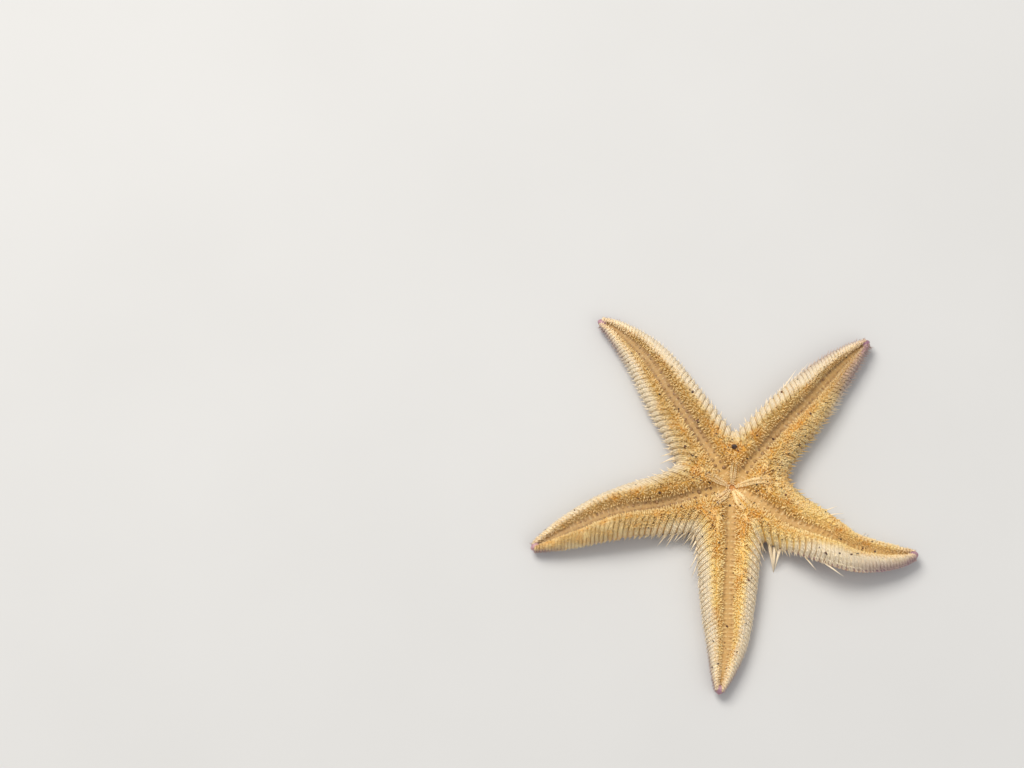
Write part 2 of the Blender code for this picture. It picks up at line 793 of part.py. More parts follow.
def cylinder(name, radius, height, sides, centre, collection):
    bm = bmesh.new()
    bmesh.ops.create_cone(
        bm, cap_ends=True, segments=sides, radius1=radius, radius2=radius, depth=height
    )
    bmesh.ops.translate(bm, verts=bm.verts[:], vec=centre)
    return mesh_object(name, bm, collection)


def madreporite(disc, body):
    """A low button in a pocket of the disc's back, clear of the floor."""
    middle = disc.notch_columns(MADREPORITE_NOTCH)[NOTCH_PLATES][0]
    outward = Vector((middle.x, middle.y, 0.0)).normalized()
    place = outward * MADREPORITE_FROM_MOUTH
    pocket = scratch_collection("pocket")
    deep = FLOOR_CLEARANCE + MADREPORITE_HEIGHT + GAP
    cylinder(
        "pocket",
        MADREPORITE_RADIUS + GAP,
        2 * deep,
        MADREPORITE_SIDES,
        place,
        pocket,
    )
    apply_boolean(body, "DIFFERENCE", pocket)
    centre = place + Vector((0.0, 0.0, FLOOR_CLEARANCE + MADREPORITE_HEIGHT / 2))
    button = cylinder(
        "madreporite",
        MADREPORITE_RADIUS,
        MADREPORITE_HEIGHT,
        MADREPORITE_SIDES,
        centre,
        bpy.data.collections["comb_star"],
    )
    bevel = button.modifiers.new("rounded edge", "BEVEL")
    bevel.width = MADREPORITE_BEVEL
    bevel.segments = 1
    return button


def finish(obj, made_of):
    obj.data.materials.clear()
    obj.data.materials.append(made_of)


def main():
    for obj in list(bpy.data.objects):
        bpy.data.objects.remove(obj)
    scratch_collection("comb_star")
    cream = material("cream_plates", CREAM)
    gold = material("golden_disc", GOLD)
    violet = material("violet_tip", VIOLET)
    sand = material("sandy_back", SAND)

    arms = [Arm(name, **sizes) for name, sizes in ARMS.items()]
    for number, arm in enumerate(arms):
        draw = random.Random(number)
        middle = PLATES_INNER + PLATES_MIDDLE
        lengths = {
            "inner": (0, PLATES_INNER),
            "middle": (PLATES_INNER, middle),
            "outer": (middle, PLATES_PER_SIDE),
        }
        for part, (first, last) in lengths.items():
            finish(arm_length_of(arm, part, first, last, draw), cream)
        finish(tip_plate(arm), violet)

    disc = Disc(arms)
    body = disc.mesh()
    disc.add_spines(body, random.Random(len(arms)))
    finish(madreporite(disc, body), sand)
    finish(body, gold)
    surface = BVHTree.FromObject(body, bpy.context.evaluated_depsgraph_get())
    for index in range(len(arms)):
        finish(jaw(disc, surface, index), cream)


main()
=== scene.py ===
"""Comb star on its back, dressed for display: one skin, and on it the plates, spines, tube feet and jaws.

Metres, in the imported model's frame. The arms' sizes repeat those that the solids are made from. A place on
the star is given on a half, one side of an arm with its share of the disc, by its distance s along the
arm's centreline from the mouth and its distance d out from that line.
"""

import math

import bmesh
import bpy
import numpy as np
from mathutils import Matrix, Vector


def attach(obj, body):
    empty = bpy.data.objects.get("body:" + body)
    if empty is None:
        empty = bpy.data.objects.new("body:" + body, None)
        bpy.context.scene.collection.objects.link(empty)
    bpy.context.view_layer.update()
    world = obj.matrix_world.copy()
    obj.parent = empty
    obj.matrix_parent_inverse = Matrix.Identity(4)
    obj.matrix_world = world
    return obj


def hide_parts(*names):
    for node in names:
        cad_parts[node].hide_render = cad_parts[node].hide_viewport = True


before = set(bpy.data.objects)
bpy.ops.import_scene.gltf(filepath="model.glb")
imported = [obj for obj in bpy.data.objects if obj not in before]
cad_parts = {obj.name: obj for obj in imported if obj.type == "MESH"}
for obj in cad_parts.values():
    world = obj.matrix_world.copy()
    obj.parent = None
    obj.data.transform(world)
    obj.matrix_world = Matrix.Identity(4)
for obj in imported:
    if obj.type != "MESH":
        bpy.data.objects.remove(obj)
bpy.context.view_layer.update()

# Sizes of the solids, repeated.
ARM_START = 0.0140
DISC_HEIGHT = 0.0072
MOUTH_HEIGHT = 0.0058
ARM_HALF_WIDTH = 0.0070
TIP_HALF_WIDTH = 0.0006
ARM_HEIGHT = 0.0070
TIP_HEIGHT = 0.0024
WIDTH_TAPER = (3.0, 0.9)
HEIGHT_TAPER = (2.0, 0.7)
GROOVE_HALF_WIDTH = 0.0013
GROOVE_DEPTH = 0.0019
GROOVE_SLOPE = 0.0007
NOTCH_RADII = (0.0121, 0.0128, 0.0132, 0.0134, 0.0122)
ARMS = (
    # length, width, headings in degrees at shares of the length, roll in degrees, lift of the tip
    (0.0462, 0.96, ((0.0, 51.0), (0.45, 49.0), (0.75, 43.0), (1.0, 38.0)), -11.0, 0.0010),
    (0.0494, 0.96, ((0.0, 121.5), (0.4, 120.0), (0.8, 138.0), (1.0, 156.0)), 5.0, 0.0008),
    (0.0464, 0.99, ((0.0, 195.0), (0.35, 197.0), (0.7, 200.0), (1.0, 203.0)), -16.0, 0.0006),
    (0.0468, 1.0, ((0.0, 267.0), (0.5, 269.0), (0.8, 260.0), (1.0, 259.0)), 0.0, 0.0009),
    (0.0461, 0.95, ((0.0, 327.0), (0.24, 319.0), (0.68, 361.0), (1.0, 374.0)), 38.0, 0.0010),
)
# How full the arms are, in width and height, where they leave the disc.
FULLNESS = 0.94
SHOULDER_HEIGHT = TIP_HEIGHT + FULLNESS * (ARM_HEIGHT - TIP_HEIGHT)
SHOULDER_FADE = 0.005
MADREPORITE_RADIUS = 0.0013
MADREPORITE_HEIGHT = 0.0008
MADREPORITE_FROM_MOUTH = 0.0084
FLOOR_CLEARANCE = 0.0003

# The skin lies this share of a plate's stand inside the solids, and its back this far above the floor.
SKIN_INSET = 0.72
BACK_DEPTH = 0.00045
# Its edge is two quarter ellipses: how far in from the edge each starts, in half widths, and the height of
# the widest line between back and mouth side.
EDGE_TOP = 0.46
EDGE_BACK = 0.32
WIDEST = 0.42
FLARE_LENGTH = 0.0028
MOUTH_RADIUS = 0.0007
MOUTH_DEPTH = 0.0026
MOUTH_FALL = 0.0012
MOUTH_FALL_RADIUS = 0.0020
SKIN_END = 0.0007

# Plates along the edges: their pitch near the disc and at the tip, the gap between their rods' middles in
# pitches, and the rods' radius and stand above the skin in gaps.
PLATE_PITCH = 0.00142
TIP_PITCH = 0.00064
PLATE_GAP = 0.86
PLATE_RADIUS = 0.60
PLATE_STAND = 0.50
PLATE_SLANT = 0.34
NOTCH_SLANT_LENGTH = 0.0050
PLATE_INNER_END = 0.47
DISC_PLATE_START = 0.0092

# For each arm's left and right edge: its spines' sweep along the arm in degrees, their length, how golden
# plates and spines are, and the spines' sweep and length in the notch. The gold is deepest near the disc,
# and with a minus sign towards the tip.
FRINGES = (
    ((62.0, 1.0, 0.0, 25.0, 0.9), (48.0, 1.25, 0.9, 35.0, 0.9)),
    ((50.0, 0.85, 0.3, 15.0, 1.2), (56.0, 0.8, 0.0, 25.0, 0.9)),
    ((74.0, 0.75, -0.85, 50.0, 1.7), (46.0, 0.85, 0.1, 30.0, 1.0)),
    ((74.0, 0.7, 0.1, 60.0, 1.3), (72.0, 0.75, 0.1, 62.0, 1.7)),
    ((44.0, 1.25, 0.75, 40.0, 0.9), (74.0, 0.75, 0.4, 35.0, 1.7)),
)

# How deep each arm's gold is.
DEPTHS = (0.70, 0.85, 0.85, 0.0, 0.20)

# Spines: length, width and thickness.
FURROW_SPINE = (0.00100, 0.00036, 0.00028)
COMB_SPINE = (0.0020, 0.00040, 0.00026)
SCALE = (0.00088, 0.00044, 0.00006)

# Rows of scale spines along a plate, and of tufts across an arm, are this far apart at the arm's start.
SCALE_SPACING = 0.00056
TUFT_SPACING = 0.00072

FOOT_WIDTH = 0.00098
FOOT_HEIGHT = 0.00030
PAXILLAE = {"Spacing": 0.00064, "Width": 0.00070, "Height": 0.00029}

# The end plate of an arm: its length, and its width and height in shares of the arm's.
TIP_LENGTH = 0.0016
TIP_WIDTH = 0.60
TIP_TALL = 0.84

TUFT_PATCH = 0.003
SEED = 7


def eased(points, at):
    """The value at a position on a curve that eases from one (position, value) pair to the next."""
    places = np.array([p for p, _ in points])
    values = np.array([v for _, v in points])
    at = np.clip(at, places[0], places[-1])
    left = np.clip(np.searchsorted(places, at, side="right") - 1, 0, len(places) - 2)
    share = (at - places[left]) / (places[left + 1] - places[left])
    share = share * share * (3 - 2 * share)
    return values[left] + (values[left + 1] - values[left]) * share


def unit(vectors):
    return vectors / np.linalg.norm(vectors, axis=-1, keepdims=True)


def lerp(first, second, share):
    return first + (second - first) * share


class Arm:
    """An arm's centreline on the floor, and its sizes along it."""

    STEPS = 300

    def __init__(self, number, length, width, headings, roll, tip_lift):
        self.number = number
        self.length = length
        self.width = width
        self.full_roll = math.radians(roll)
        self.tip_lift = tip_lift
        self.along = np.linspace(0.0, length, self.STEPS + 1)
        shares = np.maximum(self.along - ARM_START, 0.0) / (length - ARM_START)
        self.headings = np.radians(eased(headings, shares))
        middles = (self.headings[1:] + self.headings[:-1]) / 2
        step = length / self.STEPS
        self.x = np.concatenate([[0.0], np.cumsum(np.cos(middles)) * step])
        self.y = np.concatenate([[0.0], np.cumsum(np.sin(middles)) * step])
        self.rises = self.rise()

    def share(self, s):
        return (s - ARM_START) / (self.length - ARM_START)

    def half_width(self, s):
        taper = (1 - np.clip(s / self.length, 0.0, 1.0) ** WIDTH_TAPER[0]) ** WIDTH_TAPER[1]
        return self.width * (TIP_HALF_WIDTH + (ARM_HALF_WIDTH - TIP_HALF_WIDTH) * taper)

    def height(self, s):
        taper = (1 - np.clip(s / self.length, 0.0, 1.0) ** HEIGHT_TAPER[0]) ** HEIGHT_TAPER[1]
        return TIP_HEIGHT + (ARM_HEIGHT - TIP_HEIGHT) * taper

    def roll(self, s):
        return self.full_roll * eased(((0.0, 0.0), (0.45, 1.0), (1.0, 0.55)), self.share(s))

    def rise(self):
        """How far each section is raised so that, once rolled, its lowest point is at the arm's lift."""
        roll = self.roll(self.along)
        wide = self.half_width(self.along)
        tall = self.height(self.along)
        low = [
            -across * wide * np.abs(np.sin(roll)) + up * tall * np.cos(roll)
            for across, up in ((1.03, 0.40), (0.96, 0.17), (0.68, 0.0))
        ]
        lift = self.tip_lift * eased(((0.0, 0.0), (0.55, 0.0), (1.0, 1.0)), self.share(self.along))
        return lift - np.minimum(np.min(low, axis=0), 0.0)

    def turned(self, s, along, across, up):
        """Directions given along, across and up from the rolled arm, as rows in the model's frame."""
        turn = np.interp(s, self.along, self.headings)
        roll = self.roll(s)
        level = across * np.cos(roll) + up * np.sin(roll)
        x = np.cos(turn) * along - np.sin(turn) * level
        y = np.sin(turn) * along + np.cos(turn) * level
        z = -across * np.sin(roll) + up * np.cos(roll)
        return np.stack(np.broadcast_arrays(x, y, z), axis=-1)

    def place(self, s, across, up):
        centre = [np.interp(s, self.along, line) for line in (self.x, self.y, self.rises)]
        return np.stack(centre, axis=-1) + self.turned(s, 0.0, across, up)


class Half:
    """One side of an arm, 1 for its left and -1 for its right, out to the line between two arms."""

    def __init__(self, arm, side, spread, notch_radius):
        self.arm = arm
        self.side = side
        self.spread = spread
        self.fringe = FRINGES[arm.number][0 if side > 0 else 1]
        inner = notch_radius - 0.5 * self.inset(0.0)
        self.notch_s = inner * math.cos(spread)
        self.notch_d = inner * math.sin(spread)
        self.flare = self.notch_d - (arm.half_width(self.notch_s) - self.inset(self.notch_s))
        stations = np.linspace(self.notch_s, self.notch_s + 0.008, 60)
        self.outline = np.stack([stations, self.edge(stations)], axis=-1)

    def pitch(self, s):
        share = np.clip(self.arm.share(s), 0.0, 1.0)
        return lerp(PLATE_PITCH, TIP_PITCH, share**1.1)

    def inset(self, s):
        return SKIN_INSET * PLATE_STAND * PLATE_GAP * self.pitch(s)

    def edge(self, s):
        """From the centreline to the skin's edge."""
        flare = self.flare * np.exp(-np.maximum(s - self.notch_s, 0.0) / FLARE_LENGTH)
        return self.arm.half_width(s) - self.inset(s) + flare

    def width(self, s):
        """The half width that the edge's rounding goes by, alike on the disc for all arms."""
        share = eased(((0.0, 0.0), (0.004, 1.0)), s - self.notch_s)
        return lerp(FULLNESS * ARM_HALF_WIDTH, self.arm.half_width(s), share)

    def from_edge(self, s, d):
        """How far in from the skin's edge a place is."""
        s, d = np.broadcast_arrays(np.asarray(s, float), np.asarray(d, float))
        points = np.stack([s.ravel(), d.ravel()], axis=-1)
        found = self.edge(points[:, 0]) - points[:, 1]
        near = points[:, 0] < self.notch_s + 0.005
        if near.any():
            start = self.outline[:-1]
            run = self.outline[1:] - start
            off = points[near][:, None, :] - start[None]
            share = np.clip((off * run).sum(-1) / (run * run).sum(-1), 0.0, 1.0)
            found[near] = np.linalg.norm(off - share[..., None] * run, axis=-1).min(axis=1)
        return np.maximum(found, 0.0).reshape(s.shape)

    def crest(self, s, d):
        """Height of the mouth side away from grooves and edges."""
        disc = eased(
            ((0.0, MOUTH_HEIGHT), (0.0085, DISC_HEIGHT), (ARM_START, SHOULDER_HEIGHT)),
            np.hypot(s, d),
        )
        step = SHOULDER_HEIGHT - self.arm.height(ARM_START)
        outer = self.arm.height(s) + step * np.exp(-np.maximum(s - ARM_START, 0.0) / SHOULDER_FADE)
        return np.where(s < ARM_START, disc, outer) - self.inset(s)

    def levels(self, s, d):
        """Heights of the mouth side, of the widest line and of the back."""
        crest = self.crest(s, d)
        back = BACK_DEPTH * np.clip(self.pitch(s) / PLATE_PITCH, 0.5, 1.0)
        return crest, back + WIDEST * (crest - back), back

    def groove_width(self, s):
        return np.minimum(GROOVE_HALF_WIDTH, 0.27 * self.arm.half_width(np.maximum(s, 0.0)))

    def furrow(self, s, d):
        """1 on the groove's floor, falling to 0 beside it."""
        groove = self.groove_width(s)
        slope = np.minimum(GROOVE_SLOPE, 0.15 * self.arm.half_width(s))
        share = np.clip((d - 0.6 * groove) / (0.5 * groove + 2.2 * slope), 0.0, 1.0)
        return 1 - share * share * (3 - 2 * share)

    def dim(self, s, d):
        """How dark the groove's floor is: brown round the tube feet, and painted shade all along it,
        most in the arms whose feet are brown.
        """
        brown, _, across = TUBE_FEET[self.arm.number]
        near = 0.60 + 0.40 * np.exp(-(((d / self.groove_width(s) - across) / 0.30) ** 2))
        return brown * near * eased(((0.006, 0.0), (0.014, 1.0)), s)

    def top(self, s, d):
        """Height of the skin on the mouth side."""
        crest, middle, _ = self.levels(s, d)
        share = np.clip(self.from_edge(s, d) / (EDGE_TOP * self.width(s)), 0.0, 1.0)
        depth = np.minimum(GROOVE_DEPTH, 0.28 * crest)
        fall = np.clip(1 - np.hypot(s, d) / MOUTH_FALL_RADIUS, 0.0, 1.0)
        return (
            middle
            + (crest - middle) * np.sqrt(1 - (1 - share) ** 2)
            - depth * self.furrow(s, d)
            - MOUTH_FALL * fall
        )

    def back(self, s, d):
        """Height of the skin on the back."""
        _, middle, low = self.levels(s, d)
        share = np.clip(self.from_edge(s, d) / (EDGE_BACK * self.width(s)), 0.0, 1.0)
        return middle - (middle - low) * np.sqrt(1 - (1 - share) ** 2)

    def place(self, s, d, z):
        return self.arm.place(s, self.side * d, z)

    def direction(self, s, along, out, up):
        return self.arm.turned(s, along, self.side * out, up)

    def surface(self, s, d):
        """Places on the mouth side, and the skin's normals there."""
        step = 0.00005
        here = self.place(s, d, self.top(s, d))
        along = self.place(s + step, d, self.top(s + step, d)) - here
        out = self.place(s, d + step, self.top(s, d + step)) - here
        return here, unit(np.cross(along, out) * self.side)

    def round_edge(self, s, turn):
        """Places round the skin's edge, and its normals. turn is 0 on the mouth side and pi on the back."""
        edge = self.edge(s)
        crest, middle, low = self.levels(s, edge)
        upper = np.asarray(turn) <= math.pi / 2
        wide = np.where(upper, EDGE_TOP, EDGE_BACK) * self.width(s)
        tall = np.where(upper, crest - middle, middle - low)
        here = self.place(s, edge - wide * (1 - np.sin(turn)), middle + tall * np.cos(turn))
        normal = self.direction(s, 0.0, np.sin(turn) / wide, np.cos(turn) / tall)
        return here, unit(normal)

    def rim(self, s, d):
        """How pale a place is: 1 at the edge, falling to 0 well inside it, less where the edge is golden.
        The arm's end is pale all over."""
        within = np.clip(1 - self.from_edge(s, d) / (0.8 * self.width(s)), 0.0, 1.0)
        pale = 1 - 0.75 * self.golden(s)
        end = 0.62 * eased(((0.70, 0.0), (0.95, 1.0)), s / self.arm.length)
        return pale * np.maximum(within, end)

    def golden(self, s):
        """How golden the edge is. Minus in the fringe makes it more so towards the tip, not the disc."""
        share = s / self.arm.length
        at_tip = self.fringe[2] < 0
        return abs(self.fringe[2]) * np.clip(2.2 * share - 0.3 if at_tip else 1.3 - share, 0.0, 1.0)

    def depth(self, s):
        """How deep the gold is: each arm's own, and between the arms' on the disc."""
        middle = sum(DEPTHS) / len(DEPTHS)
        return lerp(middle, DEPTHS[self.arm.number], eased(((0.004, 0.0), (0.014, 1.0)), s))

    def unwrap(self, s, round_share):
        """Place on the unwrapped skin: one strip an arm, from back round to back. round_share is 0 on the
        groove's midline and 1 on the back's."""
        u = 0.02 + 0.96 * np.asarray(s) / self.arm.length
        v = (self.arm.number + 0.5 + 0.45 * self.side * np.asarray(round_share)) / len(ARMS)
        return np.stack(np.broadcast_arrays(u, v), axis=-1)


def halves():
    """The ten halves, two to each of the five gaps between arms."""
    arms = [Arm(number, *sizes) for number, sizes in enumerate(ARMS)]
    made = []
    for number, arm in enumerate(arms):
        after = arms[(number + 1) % len(arms)]
        spread = ((after.headings[0] - arm.headings[0]) % (2 * math.pi)) / 2
        made.append(Half(arm, 1, spread, NOTCH_RADII[number]))
        made.append(Half(after, -1, spread, NOTCH_RADII[number]))
    return made


# Node trees


class Value:
    """A node's output. Its operators add Math nodes, so that sums on values read as Python."""

    def __init__(self, nodes, socket):
        self.nodes = nodes
        self.socket = socket

    def maths(self, operation, *operands):
        return self.nodes.add("ShaderNodeMath", {"operation": operation}, dict(enumerate(operands)))

    def __add__(self, other):
        return self.maths("ADD", self, other)

    def __radd__(self, other):
        return self.maths("ADD", other, self)

    def __sub__(self, other):
        return self.maths("SUBTRACT", self, other)

    def __rsub__(self, other):
        return self.maths("SUBTRACT", other, self)

    def __mul__(self, other):
        return self.maths("MULTIPLY", self, other)

    def __rmul__(self, other):
        return self.maths("MULTIPLY", other, self)


class Nodes:
    """A node tree in the making."""

    def __init__(self, tree):
        self.tree = tree

    def add(self, kind, settings=None, sockets=None, output=0):
        """A node of this type, with its settings made first, then its sockets' values or links."""
        node = self.tree.nodes.new(kind)
        for name, value in (settings or {}).items():
            setattr(node, name, value)
        for key, value in (sockets or {}).items():
            if isinstance(value, Value):
                self.tree.links.new(value.socket, node.inputs[key])
            else:
                node.inputs[key].default_value = value
        return Value(self, node.outputs[output]) if len(node.outputs) else node

    def vector(self, x, y, z):
        return self.add("ShaderNodeCombineXYZ", {}, {0: x, 1: y, 2: z})

    def parts(self, vector):
        made = self.add("ShaderNodeSeparateXYZ", {}, {0: vector})
        return [Value(self, socket) for socket in made.socket.node.outputs]


class Finish(Nodes):
    """A material in the making. Its patterns read Object coordinates and the pieces' own attributes."""

    def __init__(self, name, **constants):
        self.material = bpy.data.materials.new(name)
        self.material.use_nodes = True
        super().__init__(self.material.node_tree)
        self.shader = self.tree.nodes["Principled BSDF"]
        for key, value in constants.items():
            self.shader.inputs[key.replace("_", " ")].default_value = value
        self.place = self.add("ShaderNodeTexCoord", output="Object")

    def attribute(self, name):
        return self.add("ShaderNodeAttribute", {"attribute_name": name}, output="Fac")

    def mix(self, share, first, second):
        return self.add("ShaderNodeMix", {"data_type": "RGBA"}, {0: share, 6: first, 7: second}, 2)

    def rising(self, value, low, high):
        """0 below low, 1 above high, and smooth between."""
        settings = {"interpolation_type": "SMOOTHSTEP"}
        return self.add("ShaderNodeMapRange", settings, {0: value, 1: low, 2: high, 3: 0.0, 4: 1.0})

    def noise(self, size, detail=2.0):
        """Noise from 0 to 1 whose lumps are about this far across."""
        sockets = {"Vector": self.place, "Scale": 1 / size, "Detail": detail, "Roughness": 0.5}
        return self.add("ShaderNodeTexNoise", {}, sockets)

    def bump(self, height, distance):
        return self.add("ShaderNodeBump", {}, {"Height": height, "Distance": distance, "Strength": 1.0})

    def finish(self, **links):
        for key, value in links.items():
            self.tree.links.new(value.socket, self.shader.inputs[key.replace("_", " ")])
        return self.material


class Growth(Nodes):
    """A Geometry Nodes tree in the making, with named inputs."""

    def __init__(self, name, **inputs):
        tree = bpy.data.node_groups.new(name, "GeometryNodeTree")
        super().__init__(tree)
        tree.interface.new_socket("Geometry", in_out="INPUT", socket_type="NodeSocketGeometry")
        for key, kind in inputs.items():
            tree.interface.new_socket(key, in_out="INPUT", socket_type=f"NodeSocket{kind}")
        tree.interface.new_socket("Finish", in_out="INPUT", socket_type="NodeSocketMaterial")
        tree.interface.new_socket("Geometry", in_out="OUTPUT", socket_type="NodeSocketGeometry")
        entry = tree.nodes.new("NodeGroupInput")
        self.inputs = {socket.name: Value(self, socket) for socket in entry.outputs if socket.name}

    def attribute(self, name, kind="FLOAT"):
        settings = {"data_type": kind}
        return self.add("GeometryNodeInputNamedAttribute", settings, {"Name": name}, "Attribute")

    def store(self, geometry, name, value, kind="FLOAT"):
        settings = {"data_type": kind, "domain": "POINT"}
        sockets = {"Geometry": geometry, "Name": name, "Value": value}
        return self.add("GeometryNodeStoreNamedAttribute", settings, sockets)

    def on_points(self, points, shape, aim, side, size):
        """The shape on every point, its height along aim and its width along side."""
        settings = {"primary_axis": "Z", "secondary_axis": "X"}
        turn = self.add("FunctionNodeAxesToRotation", settings, {0: aim, 1: side})
        sockets = {"Points": points, "Instance": shape, "Rotation": turn, "Scale": size}
        return self.add("GeometryNodeInstanceOnPoints", {}, sockets)

    def tapered(self, **sockets):
        """A cone of height 1 that keeps its height as tipward and its place round its root as patch. Also
        returns its points' x, y and z."""
        sockets = {key.replace("_", " "): value for key, value in sockets.items()}
        sockets |= {"Radius Bottom": 0.5, "Depth": 1.0}
        cone = self.add("GeometryNodeMeshCone", {"fill_type": "NGON"}, sockets)
        x, y, z = self.parts(self.add("GeometryNodeInputPosition"))
        cone = self.store(cone, "tipward", z)
        patch = self.vector(x * (1.5 - z), y * (1.5 - z), 0.0)
        return self.store(cone, "patch", patch, "FLOAT_VECTOR"), x, y, z

    def planted(self, shape):
        """Ends the tree with the shape on every point, by the point's own aim, side and size."""
        aim, side, size = (self.attribute(name, "FLOAT_VECTOR") for name in ("aim", "side", "size"))
        return self.finish(self.on_points(self.inputs["Geometry"], shape, aim, side, size))

    def finish(self, geometry):
        """Ends the tree: instances made real, smooth shading and the material."""
        made = self.add("GeometryNodeRealizeInstances", {}, {0: geometry})
        made = self.add("GeometryNodeSetShadeSmooth", {}, {"Geometry": made})
        sockets = {"Geometry": made, "Material": self.inputs["Finish"]}
        made = self.add("GeometryNodeSetMaterial", {}, sockets)
        leave = self.tree.nodes.new("NodeGroupOutput")
        self.tree.links.new(made.socket, leave.inputs[0])
        return self.tree


def rod_tree():
    """Rods along the lines of a mesh, as thick as their radius attribute says, with closed ends."""
    grow = Growth("rods", Sides="Int")
    line = grow.add("GeometryNodeMeshToCurve", {}, {"Mesh": grow.inputs["Geometry"]})
    line = grow.add(
        "GeometryNodeSetCurveRadius", {}, {"Curve": line, "Radius": grow.attribute("radius")}
    )
    line = grow.store(line, "along_path", grow.add("GeometryNodeSplineParameter", output="Factor"))
    circle = grow.add(
        "GeometryNodeCurvePrimitiveCircle", {}, {"Resolution": grow.inputs["Sides"], "Radius": 1.0}
    )
    circle = grow.store(circle, "around", grow.add("GeometryNodeSplineParameter", output="Factor"))
    sockets = {"Curve": line, "Profile Curve": circle, "Fill Caps": True}
    node = grow.add("GeometryNodeCurveToMesh", {}, sockets)
    scale = node.socket.node.inputs.get("Scale")
    if scale:
        grow.tree.links.new(grow.attribute("radius").socket, scale)
    return grow.finish(node)


def spine_tree():
    """A tapered spine on every point of a mesh: width, thickness and length from its size attribute."""
    grow = Growth("spines", Sides="Int", Point="Float", Swell="Float")
    sides, point = grow.inputs["Sides"], grow.inputs["Point"]
    cone, x, y, z = grow.tapered(Vertices=sides, Side_Segments=2, Radius_Top=point)
    swell = 1.0 + grow.inputs["Swell"] * z * (1.0 - z)
    shaped = grow.vector(x * swell, y * swell, z)
    return grow.planted(grow.add("GeometryNodeSetPosition", {}, {"Geometry": cone, "Position": shaped}))


def scale_tree():
    """A flat four-sided spinelet on every point of a mesh, narrower at its free end."""
    grow = Growth("scales")
    return grow.planted(grow.tapered(Vertices=4, Side_Segments=1, Radius_Top=0.32)[0])


def paxilla_tree():
    """Paxillae spread over the back: short columns, each with a crown of small knobs."""
    grow = Growth("paxillae", Spacing="Float", Width="Float", Height="Float", Seed="Int")
    there = grow.add(
        "FunctionNodeCompare",
        {"data_type": "FLOAT", "operation": "GREATER_THAN"},
        {0: grow.attribute("crowned"), 1: 0.5},
    )
    spread = grow.add(
        "GeometryNodeDistributePointsOnFaces",
        {"distribute_method": "POISSON"},
        {
            "Mesh": grow.inputs["Geometry"],
            "Selection": there,
            "Distance Min": grow.inputs["Spacing"],
            "Density Max": 3.0e6,
            "Seed": grow.inputs["Seed"],
        },
    )
    outputs = spread.socket.node.outputs
    points = grow.store(spread, "aim", Value(grow, outputs["Normal"]), "FLOAT_VECTOR")
    points = grow.store(points, "root_uv", grow.attribute("OFBake", "FLOAT_VECTOR"), "FLOAT_VECTOR")
    crown = grow.add(
        "GeometryNodeMeshCone",
        {"fill_type": "TRIANGLE_FAN"},
        {"Vertices": 10, "Side Segments": 1, "Radius Top": 0.5, "Radius Bottom": 0.3, "Depth": 1.0},
    )
    x, y, z = grow.parts(grow.add("GeometryNodeInputPosition"))
    index = grow.add("GeometryNodeInputIndex")
    knob = 1.0 - 0.34 * z * index.maths("MODULO", index, 2.0)
    radius = (x * x + y * y).maths("SQRT", x * x + y * y)
    dome = z * (1.0 + 0.5 * (0.5 - radius))
    crown = grow.store(crown, "patch", grow.vector(x, y, 0.0), "FLOAT_VECTOR")
    crown = grow.store(crown, "tipward", z)
    shaped = grow.vector(x * knob, y * knob, dome)
    crown = grow.add("GeometryNodeSetPosition", {}, {"Geometry": crown, "Position": shaped})
    draw = grow.add("FunctionNodeRandomValue", {"data_type": "FLOAT"}, {2: 0.75, 3: 1.1}, 1)
    draw.socket.node.inputs["Seed"].default_value = SEED
    wide = grow.inputs["Width"] * draw * grow.attribute("fineness")
    size = grow.vector(wide, wide, grow.inputs["Height"] * grow.attribute("fineness"))
    span = {0: (-1, -1, -1), 1: (1, 1, 1)}
    turn = grow.add("FunctionNodeRandomValue", {"data_type": "FLOAT_VECTOR"}, span)
    return grow.finish(
        grow.on_points(points, crown, grow.attribute("aim", "FLOAT_VECTOR"), turn, size)
    )


# Meshes


def new_object(name, mesh):
    made = bpy.data.objects.new(name, mesh)
    bpy.context.scene.collection.objects.link(made)
    return made


def keep_on_points(mesh, values):
    """Stores arrays as attributes of the mesh's points: numbers, or rows of three."""
    for name, array in values.items():
        array = np.asarray(array, float)
        kind, field = ("FLOAT_VECTOR", "vector") if array.ndim == 2 else ("FLOAT", "value")
        made = mesh.attributes.new(name, kind, "POINT")
        made.data.foreach_set(field, array.ravel())


def read_points(mesh, name):
    field, width = ("vector", 3) if mesh.attributes[name].data_type == "FLOAT_VECTOR" else ("value", 1)
    found = np.zeros(len(mesh.vertices) * width)
    mesh.attributes[name].data.foreach_get(field, found)
    return found.reshape(-1, 3) if width == 3 else found


def write_uv(mesh, on_points):
    """Writes the bake's UV map from a row for each point."""
    corners = np.zeros(len(mesh.loops), int)
    mesh.loops.foreach_get("vertex_index", corners)
    layer = mesh.uv_layers.new(name="OFBake")
    layer.data.foreach_set("uv", np.clip(on_points, 0.0, 1.0)[corners].ravel())


def grown(name, carrier, tree, finish, **inputs):
    """The plain mesh that a tree makes on a carrier object."""
    modifier = carrier.modifiers.new("growth", "NODES")
    modifier.node_group = tree
    identifiers = {item.name: item.identifier for item in tree.interface.items_tree if item.in_out == "INPUT"}
    for key, value in inputs.items():
        modifier[identifiers[key]] = value
    modifier[identifiers["Finish"]] = finish
    graph = bpy.context.evaluated_depsgraph_get()
    mesh = bpy.data.meshes.new_from_object(carrier.evaluated_get(graph))
    mesh.name = name
    carrier.modifiers.remove(modifier)
    return new_object(name, mesh)


